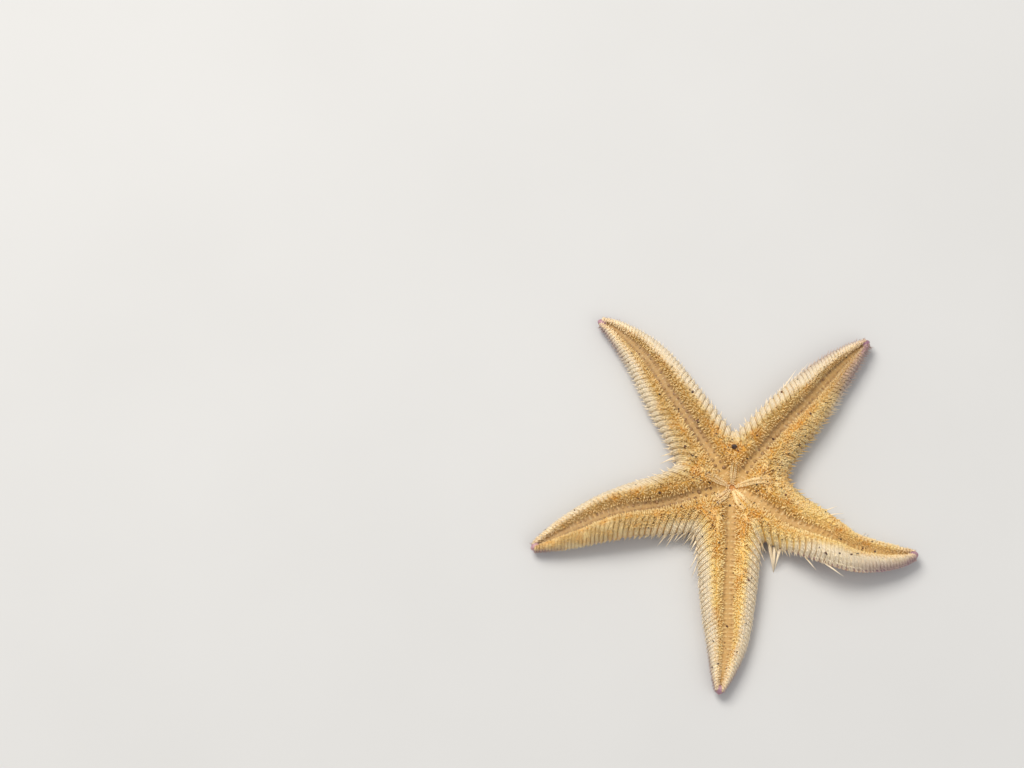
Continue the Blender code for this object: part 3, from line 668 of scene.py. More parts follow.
class Tufts:
    """Spines gathered from many places, which one tree then grows as one piece."""

    def __init__(self, draw):
        self.draw = draw
        self.rows = {key: [] for key in ("place", "aim", "side", "size", "root_uv")}
        self.numbers = {key: [] for key in ("tint", "rim", "reach", "violet", "depth")}

    def plant(self, half, s, round_share, place, aim, side, size, **numbers):
        """Adds spines on a half: arrays of places, directions, sides, and (width, thickness, length)."""
        size = np.stack(np.broadcast_arrays(*size, place[:, 0])[:3], axis=-1)
        root_uv = np.hstack([half.unwrap(s, round_share), np.zeros((len(place), 1))])
        for key, value in zip(self.rows, (place, unit(aim), side, size, root_uv)):
            self.rows[key].append(value)
        numbers["reach"] = s / half.arm.length
        numbers["depth"] = half.depth(s)
        for key, kept in self.numbers.items():
            kept.append(np.broadcast_to(numbers.get(key, 0.0), (len(place),)))

    def grow(self, name, tree, finish, **inputs):
        rows = {key: np.concatenate(value) for key, value in self.rows.items()}
        mesh = bpy.data.meshes.new("carrier")
        mesh.from_pydata(rows.pop("place").tolist(), [], [])
        numbers = {key: np.concatenate(value) for key, value in self.numbers.items()}
        keep_on_points(mesh, {**rows, **numbers})
        carrier = new_object("carrier", mesh)
        made = grown(name, carrier, tree, finish, **inputs)
        bpy.data.objects.remove(carrier)
        tuft_uv(made.data)
        return made


def tuft_uv(mesh):
    """Each tuft's patch of the bake lies at its root's place on the unwrapped skin."""
    write_uv(mesh, (read_points(mesh, "root_uv") + TUFT_PATCH * read_points(mesh, "patch"))[:, :2])
    for name in ("root_uv", "patch", "aim", "side", "size"):
        if name in mesh.attributes:
            mesh.attributes.remove(mesh.attributes[name])


def rods(name, lines, tree, finish, sides):
    """One piece of rods. A line is its places, its radii and a dict of attributes along it."""
    places = np.concatenate([line[0] for line in lines])
    mesh = bpy.data.meshes.new("lines")
    edges = []
    start = 0
    for line in lines:
        edges += [(i, i + 1) for i in range(start, start + len(line[0]) - 1)]
        start += len(line[0])
    mesh.from_pydata(places.tolist(), edges, [])
    values = {key: np.concatenate([line[2][key] for line in lines]) for key in lines[0][2]}
    cells = math.ceil(math.sqrt(len(lines)))
    number = np.concatenate([np.full(len(line[0]), i) for i, line in enumerate(lines)])
    values["radius"] = np.concatenate([line[1] for line in lines])
    values["cell_u"] = (number % cells) / cells
    values["cell_v"] = (number // cells) / cells
    keep_on_points(mesh, values)
    carrier = new_object("carrier", mesh)
    made = grown(name, carrier, tree, finish, Sides=sides)
    bpy.data.objects.remove(carrier)
    mesh = made.data
    local = [0.05 + 0.9 * read_points(mesh, key) for key in ("along_path", "around")]
    corner = [read_points(mesh, key) for key in ("cell_u", "cell_v")]
    write_uv(mesh, np.stack([corner[i] + local[i] / cells for i in range(2)], axis=-1))
    for key in ("along_path", "around", "cell_u", "cell_v", "radius"):
        if key in mesh.attributes:
            mesh.attributes.remove(mesh.attributes[key])
    return made


# Pieces

VIOLET_TIPS = (
    # for each arm's left and right edge: where the violet starts in shares of the arm's length, and how much
    # of the plates it takes
    ((0.56, 0.70), (0.62, 1.50)),
    ((0.72, 0.60), (0.82, 0.30)),
    ((0.84, 0.35), (0.84, 0.35)),
    ((0.74, 0.50), (0.72, 0.50)),
    ((0.88, 0.40), (0.64, 0.65)),
)


def violet(half, s, low, out=1.0):
    """How violet a place is: the tip, and the edge below the widest line. low is 1 on the back. out is 1 at
    the edge and 0 on the midline, where both sides are alike."""
    left, right = (start for start, _ in VIOLET_TIPS[half.arm.number])
    start = lerp((left + right) / 2, left if half.side > 0 else right, out)
    reach = np.asarray(s) / half.arm.length
    share = np.clip((reach - start) / (1.02 - start), 0.0, 1.0)
    tip = np.clip((np.asarray(s) - half.arm.length + 0.0040) / 0.0040, 0.0, 1.0)
    return np.clip(np.clip(2.2 * share, 0.0, 1.0) * low + tip * (0.25 + 0.75 * low), 0.0, 1.0)


def blush(half, outward):
    """How much of the violet reaches a place on a plate: outward is 0 at its inner end and 1 at the edge."""
    wide = VIOLET_TIPS[half.arm.number][0 if half.side > 0 else 1][1]
    return np.clip((outward - 1 + wide) / (0.8 * wide), 0.0, 1.0)


LINES_TO_NOTCH = 40
LINES_ALONG_ARM = 112
TOP_SHARES = np.concatenate(
    [np.linspace(0.0, 0.5, 12), 1 - EDGE_TOP * (1 - np.sin(np.radians(np.linspace(9, 90, 10))))]
)
BACK_SHARES = np.concatenate(
    [1 - EDGE_BACK * (1 - np.sin(np.radians(np.linspace(90, 10, 6)))), np.linspace(0.6, 0.0, 5)]
)


def skin_lines(half, shares):
    """s and d of a grid on a half: a row from the centreline outwards for each line across it."""
    near = np.linspace(0.0, 1.0, LINES_TO_NOTCH + 1)[:, None]
    notch_radius = math.hypot(half.notch_s, half.notch_d)
    inner = lerp(MOUTH_RADIUS, half.notch_s, near)
    outer = lerp(MOUTH_RADIUS, notch_radius, near)
    radius = lerp(inner, outer, shares)
    arc = radius * np.cos(shares * half.spread), radius * np.sin(shares * half.spread)
    straight = lerp(inner, outer * math.cos(half.spread), shares), outer * math.sin(half.spread) * shares
    blend = near * near * (3 - 2 * near)
    end = half.arm.length - SKIN_END
    far = np.linspace(half.notch_s, end, LINES_ALONG_ARM + 1)[1:, None]
    s = np.concatenate([lerp(arc[0], straight[0], blend), far + 0.0 * shares])
    d = np.concatenate([lerp(arc[1], straight[1], blend), half.edge(far) * shares])
    return s, d


def skin_sheet(half, under):
    """A half's mouth side or back: its places and values as grids, and its place on the unwrapped skin."""
    shares = BACK_SHARES if under else TOP_SHARES
    s, d = skin_lines(half, shares)
    z = half.back(s, d) if under else half.top(s, d)
    middle = half.levels(s, d)[1]
    edge = int(np.argmax(shares))
    z[LINES_TO_NOTCH:, edge] = middle[LINES_TO_NOTCH:, edge]
    places = half.place(s, d, z)
    low = np.clip((middle - z) / 0.001 + 0.5, 0.0, 1.0)
    clear = np.linalg.norm(places - np.array(button_place()), axis=-1) > MADREPORITE_RADIUS + 0.0006
    values = {
        "rim": half.rim(s, d),
        "furrow": half.furrow(s, d) * (1 - under),
        "reach": s / half.arm.length,
        "depth": half.depth(s),
        "dim": half.dim(s, d) * (1 - under),
        "under": low,
        "violet": violet(half, s, low, np.clip(d / half.edge(s), 0.0, 1.0) if under else 1.0),
        "crowned": (clear & (half.from_edge(s, d) > 0.3 * EDGE_BACK * half.width(s))) * under,
        "fineness": np.clip(half.pitch(s) / PLATE_PITCH, 0.5, 1.0),
    }
    flat = half.unwrap(s, np.broadcast_to(1 - 0.5 * shares if under else 0.5 * shares, s.shape))
    return places, values, flat


def skin(star, finish):
    """The one skin: ten halves, each of a mouth side and a back that meet along its edge."""
    bm = bmesh.new()
    uv = bm.loops.layers.uv.new("OFBake")
    layers = {}
    for half in star:
        for under in (0.0, 1.0):
            places, values, flat = skin_sheet(half, under)
            layers = layers or {name: bm.verts.layers.float.new(name) for name in values}
            rows, columns = places.shape[:2]
            verts = [bm.verts.new(place) for place in places.reshape(-1, 3)]
            for name, value in values.items():
                layer = layers[name]
                for vert, number in zip(verts, value.ravel().tolist()):
                    vert[layer] = number
            grid = [verts[i * columns : (i + 1) * columns] for i in range(rows)]
            for i in range(rows - 1):
                for j in range(columns - 1):
                    corners = ((i, j), (i + 1, j), (i + 1, j + 1), (i, j + 1))
                    face = bm.faces.new([grid[a][b] for a, b in corners])
                    for loop, corner in zip(face.loops, corners):
                        loop[uv].uv = flat[corner]
            if not under:
                close_mouth(bm, uv, grid[0], flat[0])
            else:
                fan(bm, uv, grid[0], flat[0], (0.0, 0.0, float(half.back(0.0, 0.0))))
            s = half.arm.length - 0.5 * SKIN_END
            fan(bm, uv, grid[-1], flat[-1], half.place(np.array(s), 0.0, half.levels(s, 0.0)[1]))
    bmesh.ops.remove_doubles(bm, verts=bm.verts[:], dist=0.00001)
    return closed_mesh("skin", bm, finish)


def fan(bm, uv, row, flat, centre):
    """Triangles from a row to one point."""
    point = bm.verts.new(centre, row[0])
    for a in range(len(row) - 1):
        face = bm.faces.new((row[a], row[a + 1], point))
        for loop, index in zip(face.loops, (a, a + 1, a)):
            loop[uv].uv = flat[index]


def close_mouth(bm, uv, row, flat):
    """The mouth's wall, down from the ring round it, and its floor."""
    bottom = MOUTH_HEIGHT - MOUTH_DEPTH
    deeper = []
    for vert in row:
        place = vert.co * 0.55
        place.z = lerp(vert.co.z, bottom, 0.6)
        deeper.append(bm.verts.new(place))
    for a in range(len(row) - 1):
        face = bm.faces.new((row[a], row[a + 1], deeper[a + 1], deeper[a]))
        for loop, index in zip(face.loops, (a, a + 1, a + 1, a)):
            loop[uv].uv = flat[index]
    fan(bm, uv, deeper, flat, (0.0, 0.0, bottom))


def closed_mesh(name, bm, finish):
    """An object from a closed bmesh, its faces turned outwards."""
    bmesh.ops.recalc_face_normals(bm, faces=bm.faces[:])
    mesh = bpy.data.meshes.new(name)
    bm.to_mesh(mesh)
    bm.free()
    mesh.shade_smooth()
    mesh.materials.append(finish)
    return new_object(name, mesh)


def loft(bm, rings):
    """Closed walls through rings of places, with a fan over each end. Returns the rings' vertices."""
    made = [[bm.verts.new(place) for place in ring] for ring in rings]
    sides = len(rings[0])
    for first, second in zip(made, made[1:]):
        for j in range(sides):
            after = (j + 1) % sides
            bm.faces.new((first[j], first[after], second[after], second[j]))
    for ring in (made[0], made[-1]):
        centre = bm.verts.new(sum((v.co for v in ring), Vector()) / sides)
        for j in range(sides):
            bm.faces.new((ring[j], ring[(j + 1) % sides], centre))
    return made


def button_place():
    """The middle of the madreporite, on the back between the first two arms."""
    first, second = (sizes[2][0][1] for sizes in ARMS[:2])
    turn = math.radians((first + second) / 2)
    return MADREPORITE_FROM_MOUTH * math.cos(turn), MADREPORITE_FROM_MOUTH * math.sin(turn), FLOOR_CLEARANCE


class Plate:
    """An edge plate on a half: a rod from the golden zone out and over the edge."""

    SWELL = np.array([0.34, 0.70, 0.90, 1.0, 1.0, 1.0, 1.0, 0.98, 0.92, 0.62])

    def __init__(self, half, s, draw):
        self.half = half
        out = float(half.edge(s))
        wide = out * (1 - PLATE_INNER_END)
        steep = wide / math.tan(half.spread)
        near = math.exp(-(s - half.notch_s) / NOTCH_SLANT_LENGTH)
        slant = lerp(PLATE_SLANT * float(half.arm.half_width(s)), steep, near)
        self.outer = np.array([s, out])
        self.inner = np.array([s - slant, out - wide])
        short = DISC_PLATE_START * draw.uniform(0.96, 1.06) - math.hypot(*self.inner)
        if short > 0:
            self.inner = self.inner + unit(self.outer - self.inner) * short
        run = unit(self.outer - self.inner)
        step = 0.0001
        bend = (float(half.edge(s + step)) - out) / step
        ends = half.place(np.array([s, s + step]), np.array([out, out + bend * step]), 0.0)
        stretch = np.linalg.norm(ends[1] - ends[0]) / math.hypot(step, bend * step)
        self.skew = abs(run[1] - bend * run[0]) * stretch
        self.gap = PLATE_GAP * float(half.pitch(s))
        self.tint = draw.random()
        self.radius = PLATE_RADIUS * self.gap * draw.uniform(0.95, 1.05)

    def rod(self):
        """The rod's centres, the skin's normals, its radii, and how near the edge each centre is."""
        half = self.half
        length = np.linalg.norm(self.outer - self.inner)
        wide = min(EDGE_TOP * float(half.width(self.outer[0])), 0.9 * length)
        turn = np.sin(np.radians([20, 38, 54, 68]))
        shares = np.concatenate([np.linspace(0.0, 1 - wide / length, 4), 1 - wide / length * (1 - turn)])
        way = lerp(self.inner, self.outer, shares[:, None])
        top, normals = half.surface(way[:, 0], way[:, 1])
        low, low_normals = half.round_edge(np.full(2, self.outer[0]), np.radians([92.0, 106.0]))
        normals = np.concatenate([normals, low_normals])
        sunk = self.radius - PLATE_STAND * self.gap * self.SWELL**0.7
        rim = half.rim(way[:, 0], way[:, 1])
        rim = np.concatenate([rim, rim[-1:], rim[-1:]])
        return np.concatenate([top, low]) - normals * sunk[:, None], normals, self.radius * self.SWELL, rim


def edge_plates(star, draw):
    """The plates of each half, from the notch to the tip."""
    plates = []
    for half in star:
        s = half.notch_s + 0.4 * half.pitch(half.notch_s)
        while s < half.arm.length - 0.0007:
            plate = Plate(half, float(s), draw)
            plates.append(plate)
            s += plate.gap / max(plate.skew, 0.4)
    return plates


def plate_lines(plates):
    """Lines of the rods on the mouth side of the edge."""
    lines = []
    for plate in plates:
        half = plate.half
        centres, _, radii, rim = plate.rod()
        count = len(radii)
        low = 0.9 * blush(half, np.linspace(0.0, 1.0, count))
        values = {
            "rim": rim,
            "reach": np.full(count, plate.outer[0] / half.arm.length),
            "depth": half.depth(np.full(count, plate.outer[0])),
            "tint": np.full(count, plate.tint),
            "violet": violet(half, np.full(count, plate.outer[0]), low),
        }
        lines.append((centres, radii, values))
    return lines


# The rods under the edge: their points' turns round it, and their radii there.
LOWER_TURNS = np.radians([112.0, 126.0, 140.0, 152.0, 163.0, 172.0])
LOWER_RADII = np.array([0.62, 0.95, 1.0, 1.0, 0.9, 0.5])


def lower_lines(plates):
    """Lines of the rods under the edge, one below each plate of the mouth side."""
    lines = []
    count = len(LOWER_TURNS)
    for plate in plates:
        half = plate.half
        s = np.full(count, plate.outer[0])
        places, normals = half.round_edge(s, LOWER_TURNS)
        radii = plate.radius * 0.98 * LOWER_RADII
        values = {
            "rim": np.full(count, 0.9),
            "reach": s / half.arm.length,
            "depth": half.depth(s),
            "tint": np.full(count, plate.tint),
            "violet": np.maximum(violet(half, s, np.ones(count)), 0.32),
        }
        lines.append((places - normals * (radii * 0.62)[:, None], radii, values))
    return lines


LONG_SPINES = (
    # arm, side, place along the arm, turn round the edge, sweep and fall in degrees, length, width
    (0, 1, 0.0243, 88.0, 84.0, 4.0, 0.0058, 0.00042),
    (0, 1, 0.0283, 88.0, 88.0, 6.0, 0.0048, 0.00040),
    (4, -1, 0.0225, 118.0, 82.0, 8.0, 0.0040, 0.00046),
    (4, -1, 0.0262, 118.0, 86.0, 4.0, 0.0053, 0.00050),
    (4, -1, 0.0139, 92.0, 42.0, 30.0, 0.0062, 0.00100),
    (4, -1, 0.0151, 92.0, 32.0, 32.0, 0.0056, 0.00090),
    (4, -1, 0.0165, 92.0, 20.0, 34.0, 0.0048, 0.00080),
    (3, -1, 0.0152, 90.0, 64.0, 22.0, 0.0042, 0.00050),
    (3, -1, 0.0170, 92.0, 68.0, 20.0, 0.0040, 0.00046),
    (2, 1, 0.0150, 92.0, 50.0, 28.0, 0.0036, 0.00050),
    (2, 1, 0.0168, 92.0, 56.0, 26.0, 0.0034, 0.00046),
    (1, 1, 0.0125, 88.0, 10.0, 12.0, 0.0036, 0.00050),
    (1, 1, 0.0136, 88.0, 18.0, 16.0, 0.0030, 0.00046),
    (4, 1, 0.0200, 84.0, 38.0, 4.0, 0.0040, 0.00040),
    (4, 1, 0.0190, 80.0, 30.0, -6.0, 0.0034, 0.00036),
    (4, 1, 0.0211, 86.0, 46.0, 0.0, 0.0032, 0.00036),
    (4, 1, 0.0248, 84.0, 40.0, -4.0, 0.0030, 0.00036),
    (4, 1, 0.0312, 86.0, 34.0, 2.0, 0.0034, 0.00036),
    (4, 1, 0.0322, 84.0, 42.0, -4.0, 0.0034, 0.00038),
)


def above_floor(places, aims, lengths):
    """The directions, turned up where a spine's tip would come too near the floor."""
    drop = np.clip((0.00008 - places[:, 2]) / lengths, -1.0, 0.9)
    level = unit(aims * np.array([1.0, 1.0, 0.0]))
    raised = level * np.sqrt(1 - drop * drop)[:, None]
    raised[:, 2] = drop
    return np.where((aims[:, 2] < drop)[:, None], raised, aims)


def swept(half, s, sweep, fall):
    """Directions out from the edge, swept towards the tip and falling towards the floor."""
    level = np.cos(fall)
    return half.direction(s, level * np.sin(sweep), level * np.cos(sweep), -np.sin(fall))


COMB_ROWS = (
    # turn round the edge in degrees, length, further sweep and fall in degrees
    (84.0, 1.0, 0.0, 22.0),
    (97.0, 0.95, -6.0, 42.0),
    (76.0, 0.6, 6.0, 6.0),
    (108.0, 0.75, 3.0, 56.0),
)


def comb_spines(plates, star, draw):
    """Spines at each edge plate's outer end, swept towards the tip and down."""
    tufts = Tufts(draw)
    for half in star:
        own = [plate for plate in plates if plate.half is half]
        sweep, length, _, notch_sweep, notch_length = half.fringe
        for turn, share, more_sweep, fall in COMB_ROWS:
            count = len(own)
            s = np.array([p.outer[0] for p in own])
            gap = np.array([p.gap for p in own])
            fine = gap / (PLATE_GAP * PLATE_PITCH)
            near = np.exp(-(((s - half.notch_s) / 0.0048) ** 2))
            s_root = s + draw.uniform(-0.25, 0.25, count) * gap
            places, normals = half.round_edge(s_root, np.full(count, math.radians(turn)))
            aside = np.radians(lerp(sweep, notch_sweep, near) + more_sweep + draw.uniform(-9, 9, count))
            down = np.radians(fall + draw.uniform(-9, 9, count))
            size = COMB_SPINE[0] * fine**0.7 * share * lerp(length, notch_length, near)
            size = size * draw.uniform(0.8, 1.2, count)
            aims = swept(half, s, aside, down)
            broad = COMB_SPINE[1] * fine**0.6 * draw.uniform(0.85, 1.15, count)
            places = places - aims * 0.0003 + normals * (PLATE_STAND * gap * 0.5)[:, None]
            tufts.plant(
                half,
                s,
                0.5 * turn / 90,
                places,
                above_floor(places, aims, size),
                half.direction(s, 1.0, 0.0, 0.0),
                (broad, COMB_SPINE[2] * fine**0.6, size),
                tint=np.clip(1 - half.golden(s) + draw.uniform(-0.3, 0.3, count), 0.0, 1.0),
                rim=1 - 0.75 * half.golden(s),
                violet=0.8 * violet(half, s, 0.8),
            )
        for arm, which, s, turn, aside, fall, size, broad in LONG_SPINES:
            if (arm, which) == (half.arm.number, half.side):
                s = np.array([s])
                places, normals = half.round_edge(s, np.radians([turn]))
                places = places + normals * 0.0002
                aims = swept(half, s, math.radians(aside), math.radians(fall))
                aims = above_floor(places, aims, np.array([size]))
                along = half.direction(s, 1.0, 0.0, 0.0)
                tufts.plant(half, s, 0.5, places, aims, along, (broad, 0.5 * broad, size), tint=1.0, rim=1.0)
    return tufts


LANES = np.radians([-48.0, -16.0, 16.0, 48.0])


def plate_scales(plates, draw):
    """Flat spinelets that cover the edge plates and point outwards."""
    tufts = Tufts(draw)
    for plate in plates:
        half = plate.half
        fine = plate.gap / (PLATE_GAP * PLATE_PITCH)
        centres, normals, radii, rim = plate.rod()
        run = np.concatenate([[0.0], np.cumsum(np.linalg.norm(np.diff(centres, axis=0), axis=1))])
        rows = max(int(run[-1] / (SCALE_SPACING * fine**0.8)), 3)
        at = (np.arange(rows)[:, None] + 0.35 + 0.5 * (np.arange(len(LANES)) % 2)) / rows * run[-1] * 0.96
        at = at + draw.uniform(-0.08, 0.08, at.shape) * run[-1] / rows
        turn = np.broadcast_to(LANES, at.shape).ravel() + draw.uniform(-0.08, 0.08, at.size)
        at = at.ravel()
        spread = [np.interp(at, run, column) for column in (*centres.T, *normals.T, radii, rim)]
        centre, normal = np.stack(spread[:3], axis=-1), unit(np.stack(spread[3:6], axis=-1))
        step = run[-1] * 0.02
        ahead = np.stack([np.interp(at + step, run, c) for c in centres.T], axis=-1)
        behind = np.stack([np.interp(at - step, run, c) for c in centres.T], axis=-1)
        tangent = unit(ahead - behind)
        beside = unit(np.cross(tangent, normal))
        outward = normal * np.cos(turn)[:, None] + beside * np.sin(turn)[:, None]
        count = len(at)
        length = SCALE[0] * fine * draw.uniform(0.8, 1.15, count)
        places = centre + outward * (spread[6] - 0.00003)[:, None] - tangent * (0.4 * length)[:, None]
        aims = tangent + outward * draw.uniform(0.0, 0.06, count)[:, None]
        s = np.full(count, plate.outer[0])
        tufts.plant(
            half,
            s,
            0.5 * (0.5 + 0.5 * at / run[-1]),
            places,
            aims,
            np.cross(outward, tangent),
            (SCALE[1] * fine * draw.uniform(0.9, 1.15, count), SCALE[2] * fine, length),
            tint=np.clip(0.5 * plate.tint + 0.5 * draw.random(count), 0.0, 1.0),
            rim=spread[7],
            violet=0.85 * violet(half, s, blush(half, at / run[-1])),
        )
    return tufts


TUFT = ((-0.30, 0.0), (-0.10, 0.08), (0.12, 0.04), (0.33, 0.0), (-0.20, 0.40), (0.02, 0.50), (0.22, 0.42))


# Tufts, the floor's plates and the tube feet follow one another this many plate pitches apart.
TUFT_PITCH = 0.97


def stations(half, first, short):
    """Distances along an arm, one for each tuft, from first to this far short of the arm's end."""
    found = []
    s = first
    while s < half.arm.length - short:
        found.append(s)
        s += float(half.pitch(s)) * TUFT_PITCH
    return found


def furrow_spines(star, draw):
    """Golden spines in tufts beside the grooves, and over the disc between them."""
    tufts = Tufts(draw)
    for number, half in enumerate(star):
        rows = []
        for s in stations(half, 0.0044, 0.0012):
            pitch = float(half.pitch(s)) * TUFT_PITCH
            fine = max(pitch / PLATE_PITCH, 0.45)
            groove = float(half.groove_width(s))
            slope = min(GROOVE_SLOPE, 0.15 * float(half.arm.half_width(s)))
            full = float(half.edge(max(s, half.notch_s)))
            limit = s * math.tan(half.spread) - 0.0004 if s < half.notch_s else full
            start = groove + 0.55 * slope
            disc = math.sqrt(max((DISC_PLATE_START + 0.0008) ** 2 - s * s, 0.0))
            end = max(min(max((0.60 + 0.30 * float(half.golden(s))) * full, disc), limit), start)
            for k in (-1.0, 0.0, 1.0):
                rows.append((s + 0.27 * k * pitch, start, 0.28 * k, -0.65, 0.95 * fine**0.7))
            tuft = start + 0.00032 * fine
            while tuft < end:
                for k, out in TUFT:
                    d = min(tuft + out * 0.0009 * fine, max(limit, start))
                    lean = 0.4 * (out - 0.25) + 0.25 * (tuft - start) / 0.002
                    rows.append((s + k * pitch, d, 1.1 * k, lean, 0.9 * fine**0.6))
                tuft += TUFT_SPACING * fine**0.7
        jaw_end = JAWS[number // 2][0] + JAWS[number // 2][1]
        for radius in np.arange(jaw_end, math.hypot(half.notch_s, half.notch_d) - 0.0005, 0.00040):
            beside = 0.00015 + 0.00020 * draw.random()
            middle = radius * math.cos(half.spread), radius * math.sin(half.spread)
            at = middle[0] + beside * math.sin(half.spread), middle[1] - beside * math.cos(half.spread)
            rows.append((*at, 0.5, 0.4, 0.85))
        s, d, lean_along, lean_out, scale = np.array(rows).T
        count = len(s)
        s = s + draw.uniform(-0.00018, 0.00018, count)
        d = d + draw.uniform(-0.00016, 0.00016, count)
        places, normals = half.surface(s, d)
        plate = np.clip((np.hypot(s, d) - DISC_PLATE_START) / 0.0008, 0.0, 1.0)
        plate = plate * np.clip((d / half.edge(s) - 0.44) / 0.12, 0.0, 1.0)
        places = places + normals * (0.75 * PLATE_STAND * PLATE_GAP * half.pitch(s) * plate)[:, None]
        along = half.direction(s, 1.0, 0.0, 0.0)
        out = half.direction(s, 0.0, 1.0, 0.0)
        unruly = 0.26 + 0.34 * np.exp(-((np.hypot(s, d) / 0.011) ** 4))
        lean_along = lean_along + unruly * draw.uniform(-1.0, 1.0, count)
        lean_out = lean_out + unruly * draw.uniform(-1.0, 1.0, count)
        tufts.plant(
            half,
            s,
            0.5 * np.clip(d / half.edge(s), 0.0, 1.0),
            places - normals * 0.00015,
            normals + along * lean_along[:, None] + out * lean_out[:, None],
            along,
            (
                FURROW_SPINE[1] * scale * draw.uniform(0.8, 1.2, count),
                FURROW_SPINE[2] * scale,
                FURROW_SPINE[0] * scale * draw.uniform(0.75, 1.2, count) * (1 - 0.3 * plate),
            ),
            tint=draw.random(count),
            rim=half.rim(s, d),
            violet=0.8 * violet(half, s, blush(half, np.clip(2 * d / half.edge(s) - 1, 0.0, 1.0))),
        )
    return tufts


BAR_STAND = 0.00016


def groove_lines(star, draw):
    """Lines of the low plates that cross each groove's floor, a pair for each tuft beside it."""
    lines = []
    for half in star:
        for s in stations(half, 0.0030, 0.0014):
            pitch = float(half.pitch(s)) * TUFT_PITCH
            d = np.linspace(0.07, 1.08, 5) * float(half.groove_width(s))
            places, normals = half.surface(np.full(5, s) + np.linspace(0.0, 0.12, 5) * pitch, d)
            full = 0.43 * pitch * draw.uniform(0.90, 1.06)
            radii = full * np.array([0.80, 0.95, 1.0, 0.95, 0.70])
            stand = BAR_STAND * pitch / PLATE_PITCH * np.array([0.5, 0.9, 1.0, 0.9, 0.3])
            values = {
                "reach": np.full(5, s / half.arm.length),
                "tint": np.full(5, draw.random()),
                "dim": half.dim(s, d),
            }
            lines.append((places - normals * (radii - stand)[:, None], radii, values))
    return lines


TUBE_FEET = (
    # how brown each arm's drawn-in tube feet are, which also sets the brown and painted shade on its groove's
    # floor, how large the feet are, and where they stand across the groove
    (0.95, 1.05, 0.50),
    (1.00, 1.05, 0.55),
    (1.00, 1.0, 0.50),
    (0.26, 0.8, 0.60),
    (0.36, 0.8, 0.58),
)


def tube_feet(star, draw):
    """Drawn-in tube feet in a row along each side of the grooves, blunt cones between the floor's plates."""
    tufts = Tufts(draw)
    for half in star:
        brown, large, across = TUBE_FEET[half.arm.number]
        s = np.array(stations(half, 0.0046, 0.0018))
        s = s + draw.uniform(-0.00016, 0.00016, len(s))
        fine = np.clip(half.pitch(s) / PLATE_PITCH, 0.45, 1.0)
        count = len(s)
        d = (across + draw.uniform(-0.13, 0.13, count)) * half.groove_width(s)
        places, normals = half.surface(s, d)
        along = half.direction(s, 1.0, 0.0, 0.0)
        out = half.direction(s, 0.0, 1.0, 0.0)
        lean = draw.uniform(-0.3, 0.3, (2, count, 1))
        wide = FOOT_WIDTH * fine * large * draw.uniform(0.7, 1.1, count)
        tall = FOOT_HEIGHT * fine * draw.uniform(0.7, 1.3, count)
        tufts.plant(
            half,
            s,
            0.1,
            places - normals * 0.0001,
            normals + along * lean[0] + out * (lean[1] + 0.2),
            along,
            (wide * 0.85, wide, tall),
            tint=brown * draw.uniform(0.5, 1.0, count),
        )
    return tufts


JAWS = (
    # start, length, half width, how far its two halves spread at the outer end, how brown it is, height,
    # how far its outer end bends clockwise
    (0.0007, 0.0046, 0.00040, 0.00010, 0.45, 0.0007, 0.0002),
    (0.0007, 0.0056, 0.00044, 0.00012, 0.40, 0.0008, -0.0003),
    (0.0008, 0.0050, 0.00054, 0.00020, 1.00, 0.0010, 0.0003),
    (0.0007, 0.0058, 0.00072, 0.00044, 0.00, 0.0012, -0.0004),
    (0.0007, 0.0080, 0.00044, 0.00014, 0.25, 0.0011, 0.0008),
)
JAW_RINGS = 26
JAW_SIDES = 14


def jaw_line(half, sizes, shares, beside=1.0):
    """Places s and d along one half of a jaw, how full it is there, and how high."""
    start, length, wide, spread, _, tall, bend = sizes
    radius = start + length * shares
    swell = np.sin(math.pi * (0.10 + 0.80 * shares)) ** 0.5 * lerp(0.75, 1.05, shares)
    apart = wide * swell * 0.86 * beside + spread * shares**1.4 + half.side * bend * shares**2
    s = radius * math.cos(half.spread) + apart * math.sin(half.spread)
    d = radius * math.sin(half.spread) - apart * math.cos(half.spread)
    return s, d, swell, tall * (0.35 + 0.75 * swell) * (1.0 - 0.35 * shares)


def jaws(star, finish):
    """Five jaws, each two keels side by side, from the mouth outwards."""
    bm = bmesh.new()
    layers = {name: bm.verts.layers.float.new(name) for name in ("along", "up", "brown")}
    shares = np.linspace(0.0, 1.0, JAW_RINGS)
    turns = 2 * math.pi * np.arange(JAW_SIDES) / JAW_SIDES
    for number, sizes in enumerate(JAWS):
        for half in star[2 * number : 2 * number + 2]:
            s, d, swell, high = jaw_line(half, sizes, shares)
            floor = half.top(s, np.maximum(d, 0.0)) - 0.0003
            lump = 1 + 0.13 * np.sin(29 * shares + 2 * number) * np.sin(13 * shares + half.side)
            across = np.outer(sizes[2] * swell * lump, np.sign(np.cos(turns)) * np.abs(np.cos(turns)) ** 0.85)
            rise = 0.5 + 0.5 * np.sign(np.sin(turns)) * np.abs(np.sin(turns)) ** 0.8
            up = floor[:, None] + np.outer(high * lump, rise)
            at_s = s[:, None] + across * math.sin(half.spread)
            at_d = d[:, None] - across * math.cos(half.spread)
            rings = loft(bm, half.place(at_s, at_d, up))
            for share, ring in zip(shares, rings):
                for part, vert in zip(rise, ring):
                    vert[layers["along"]] = share
                    vert[layers["up"]] = part
                    vert[layers["brown"]] = sizes[4]
    return closed_mesh("jaws", bm, finish)


JAW_SPINE_ROWS = (
    # how far across from the gap's middle in half widths, count, share of the jaw's height, length, lean
    (2.0, 11, 0.0, 0.00075, 0.45),
    (1.4, 12, 0.75, 0.00040, 0.5),
    (0.5, 12, 0.85, 0.00038, -0.25),
)


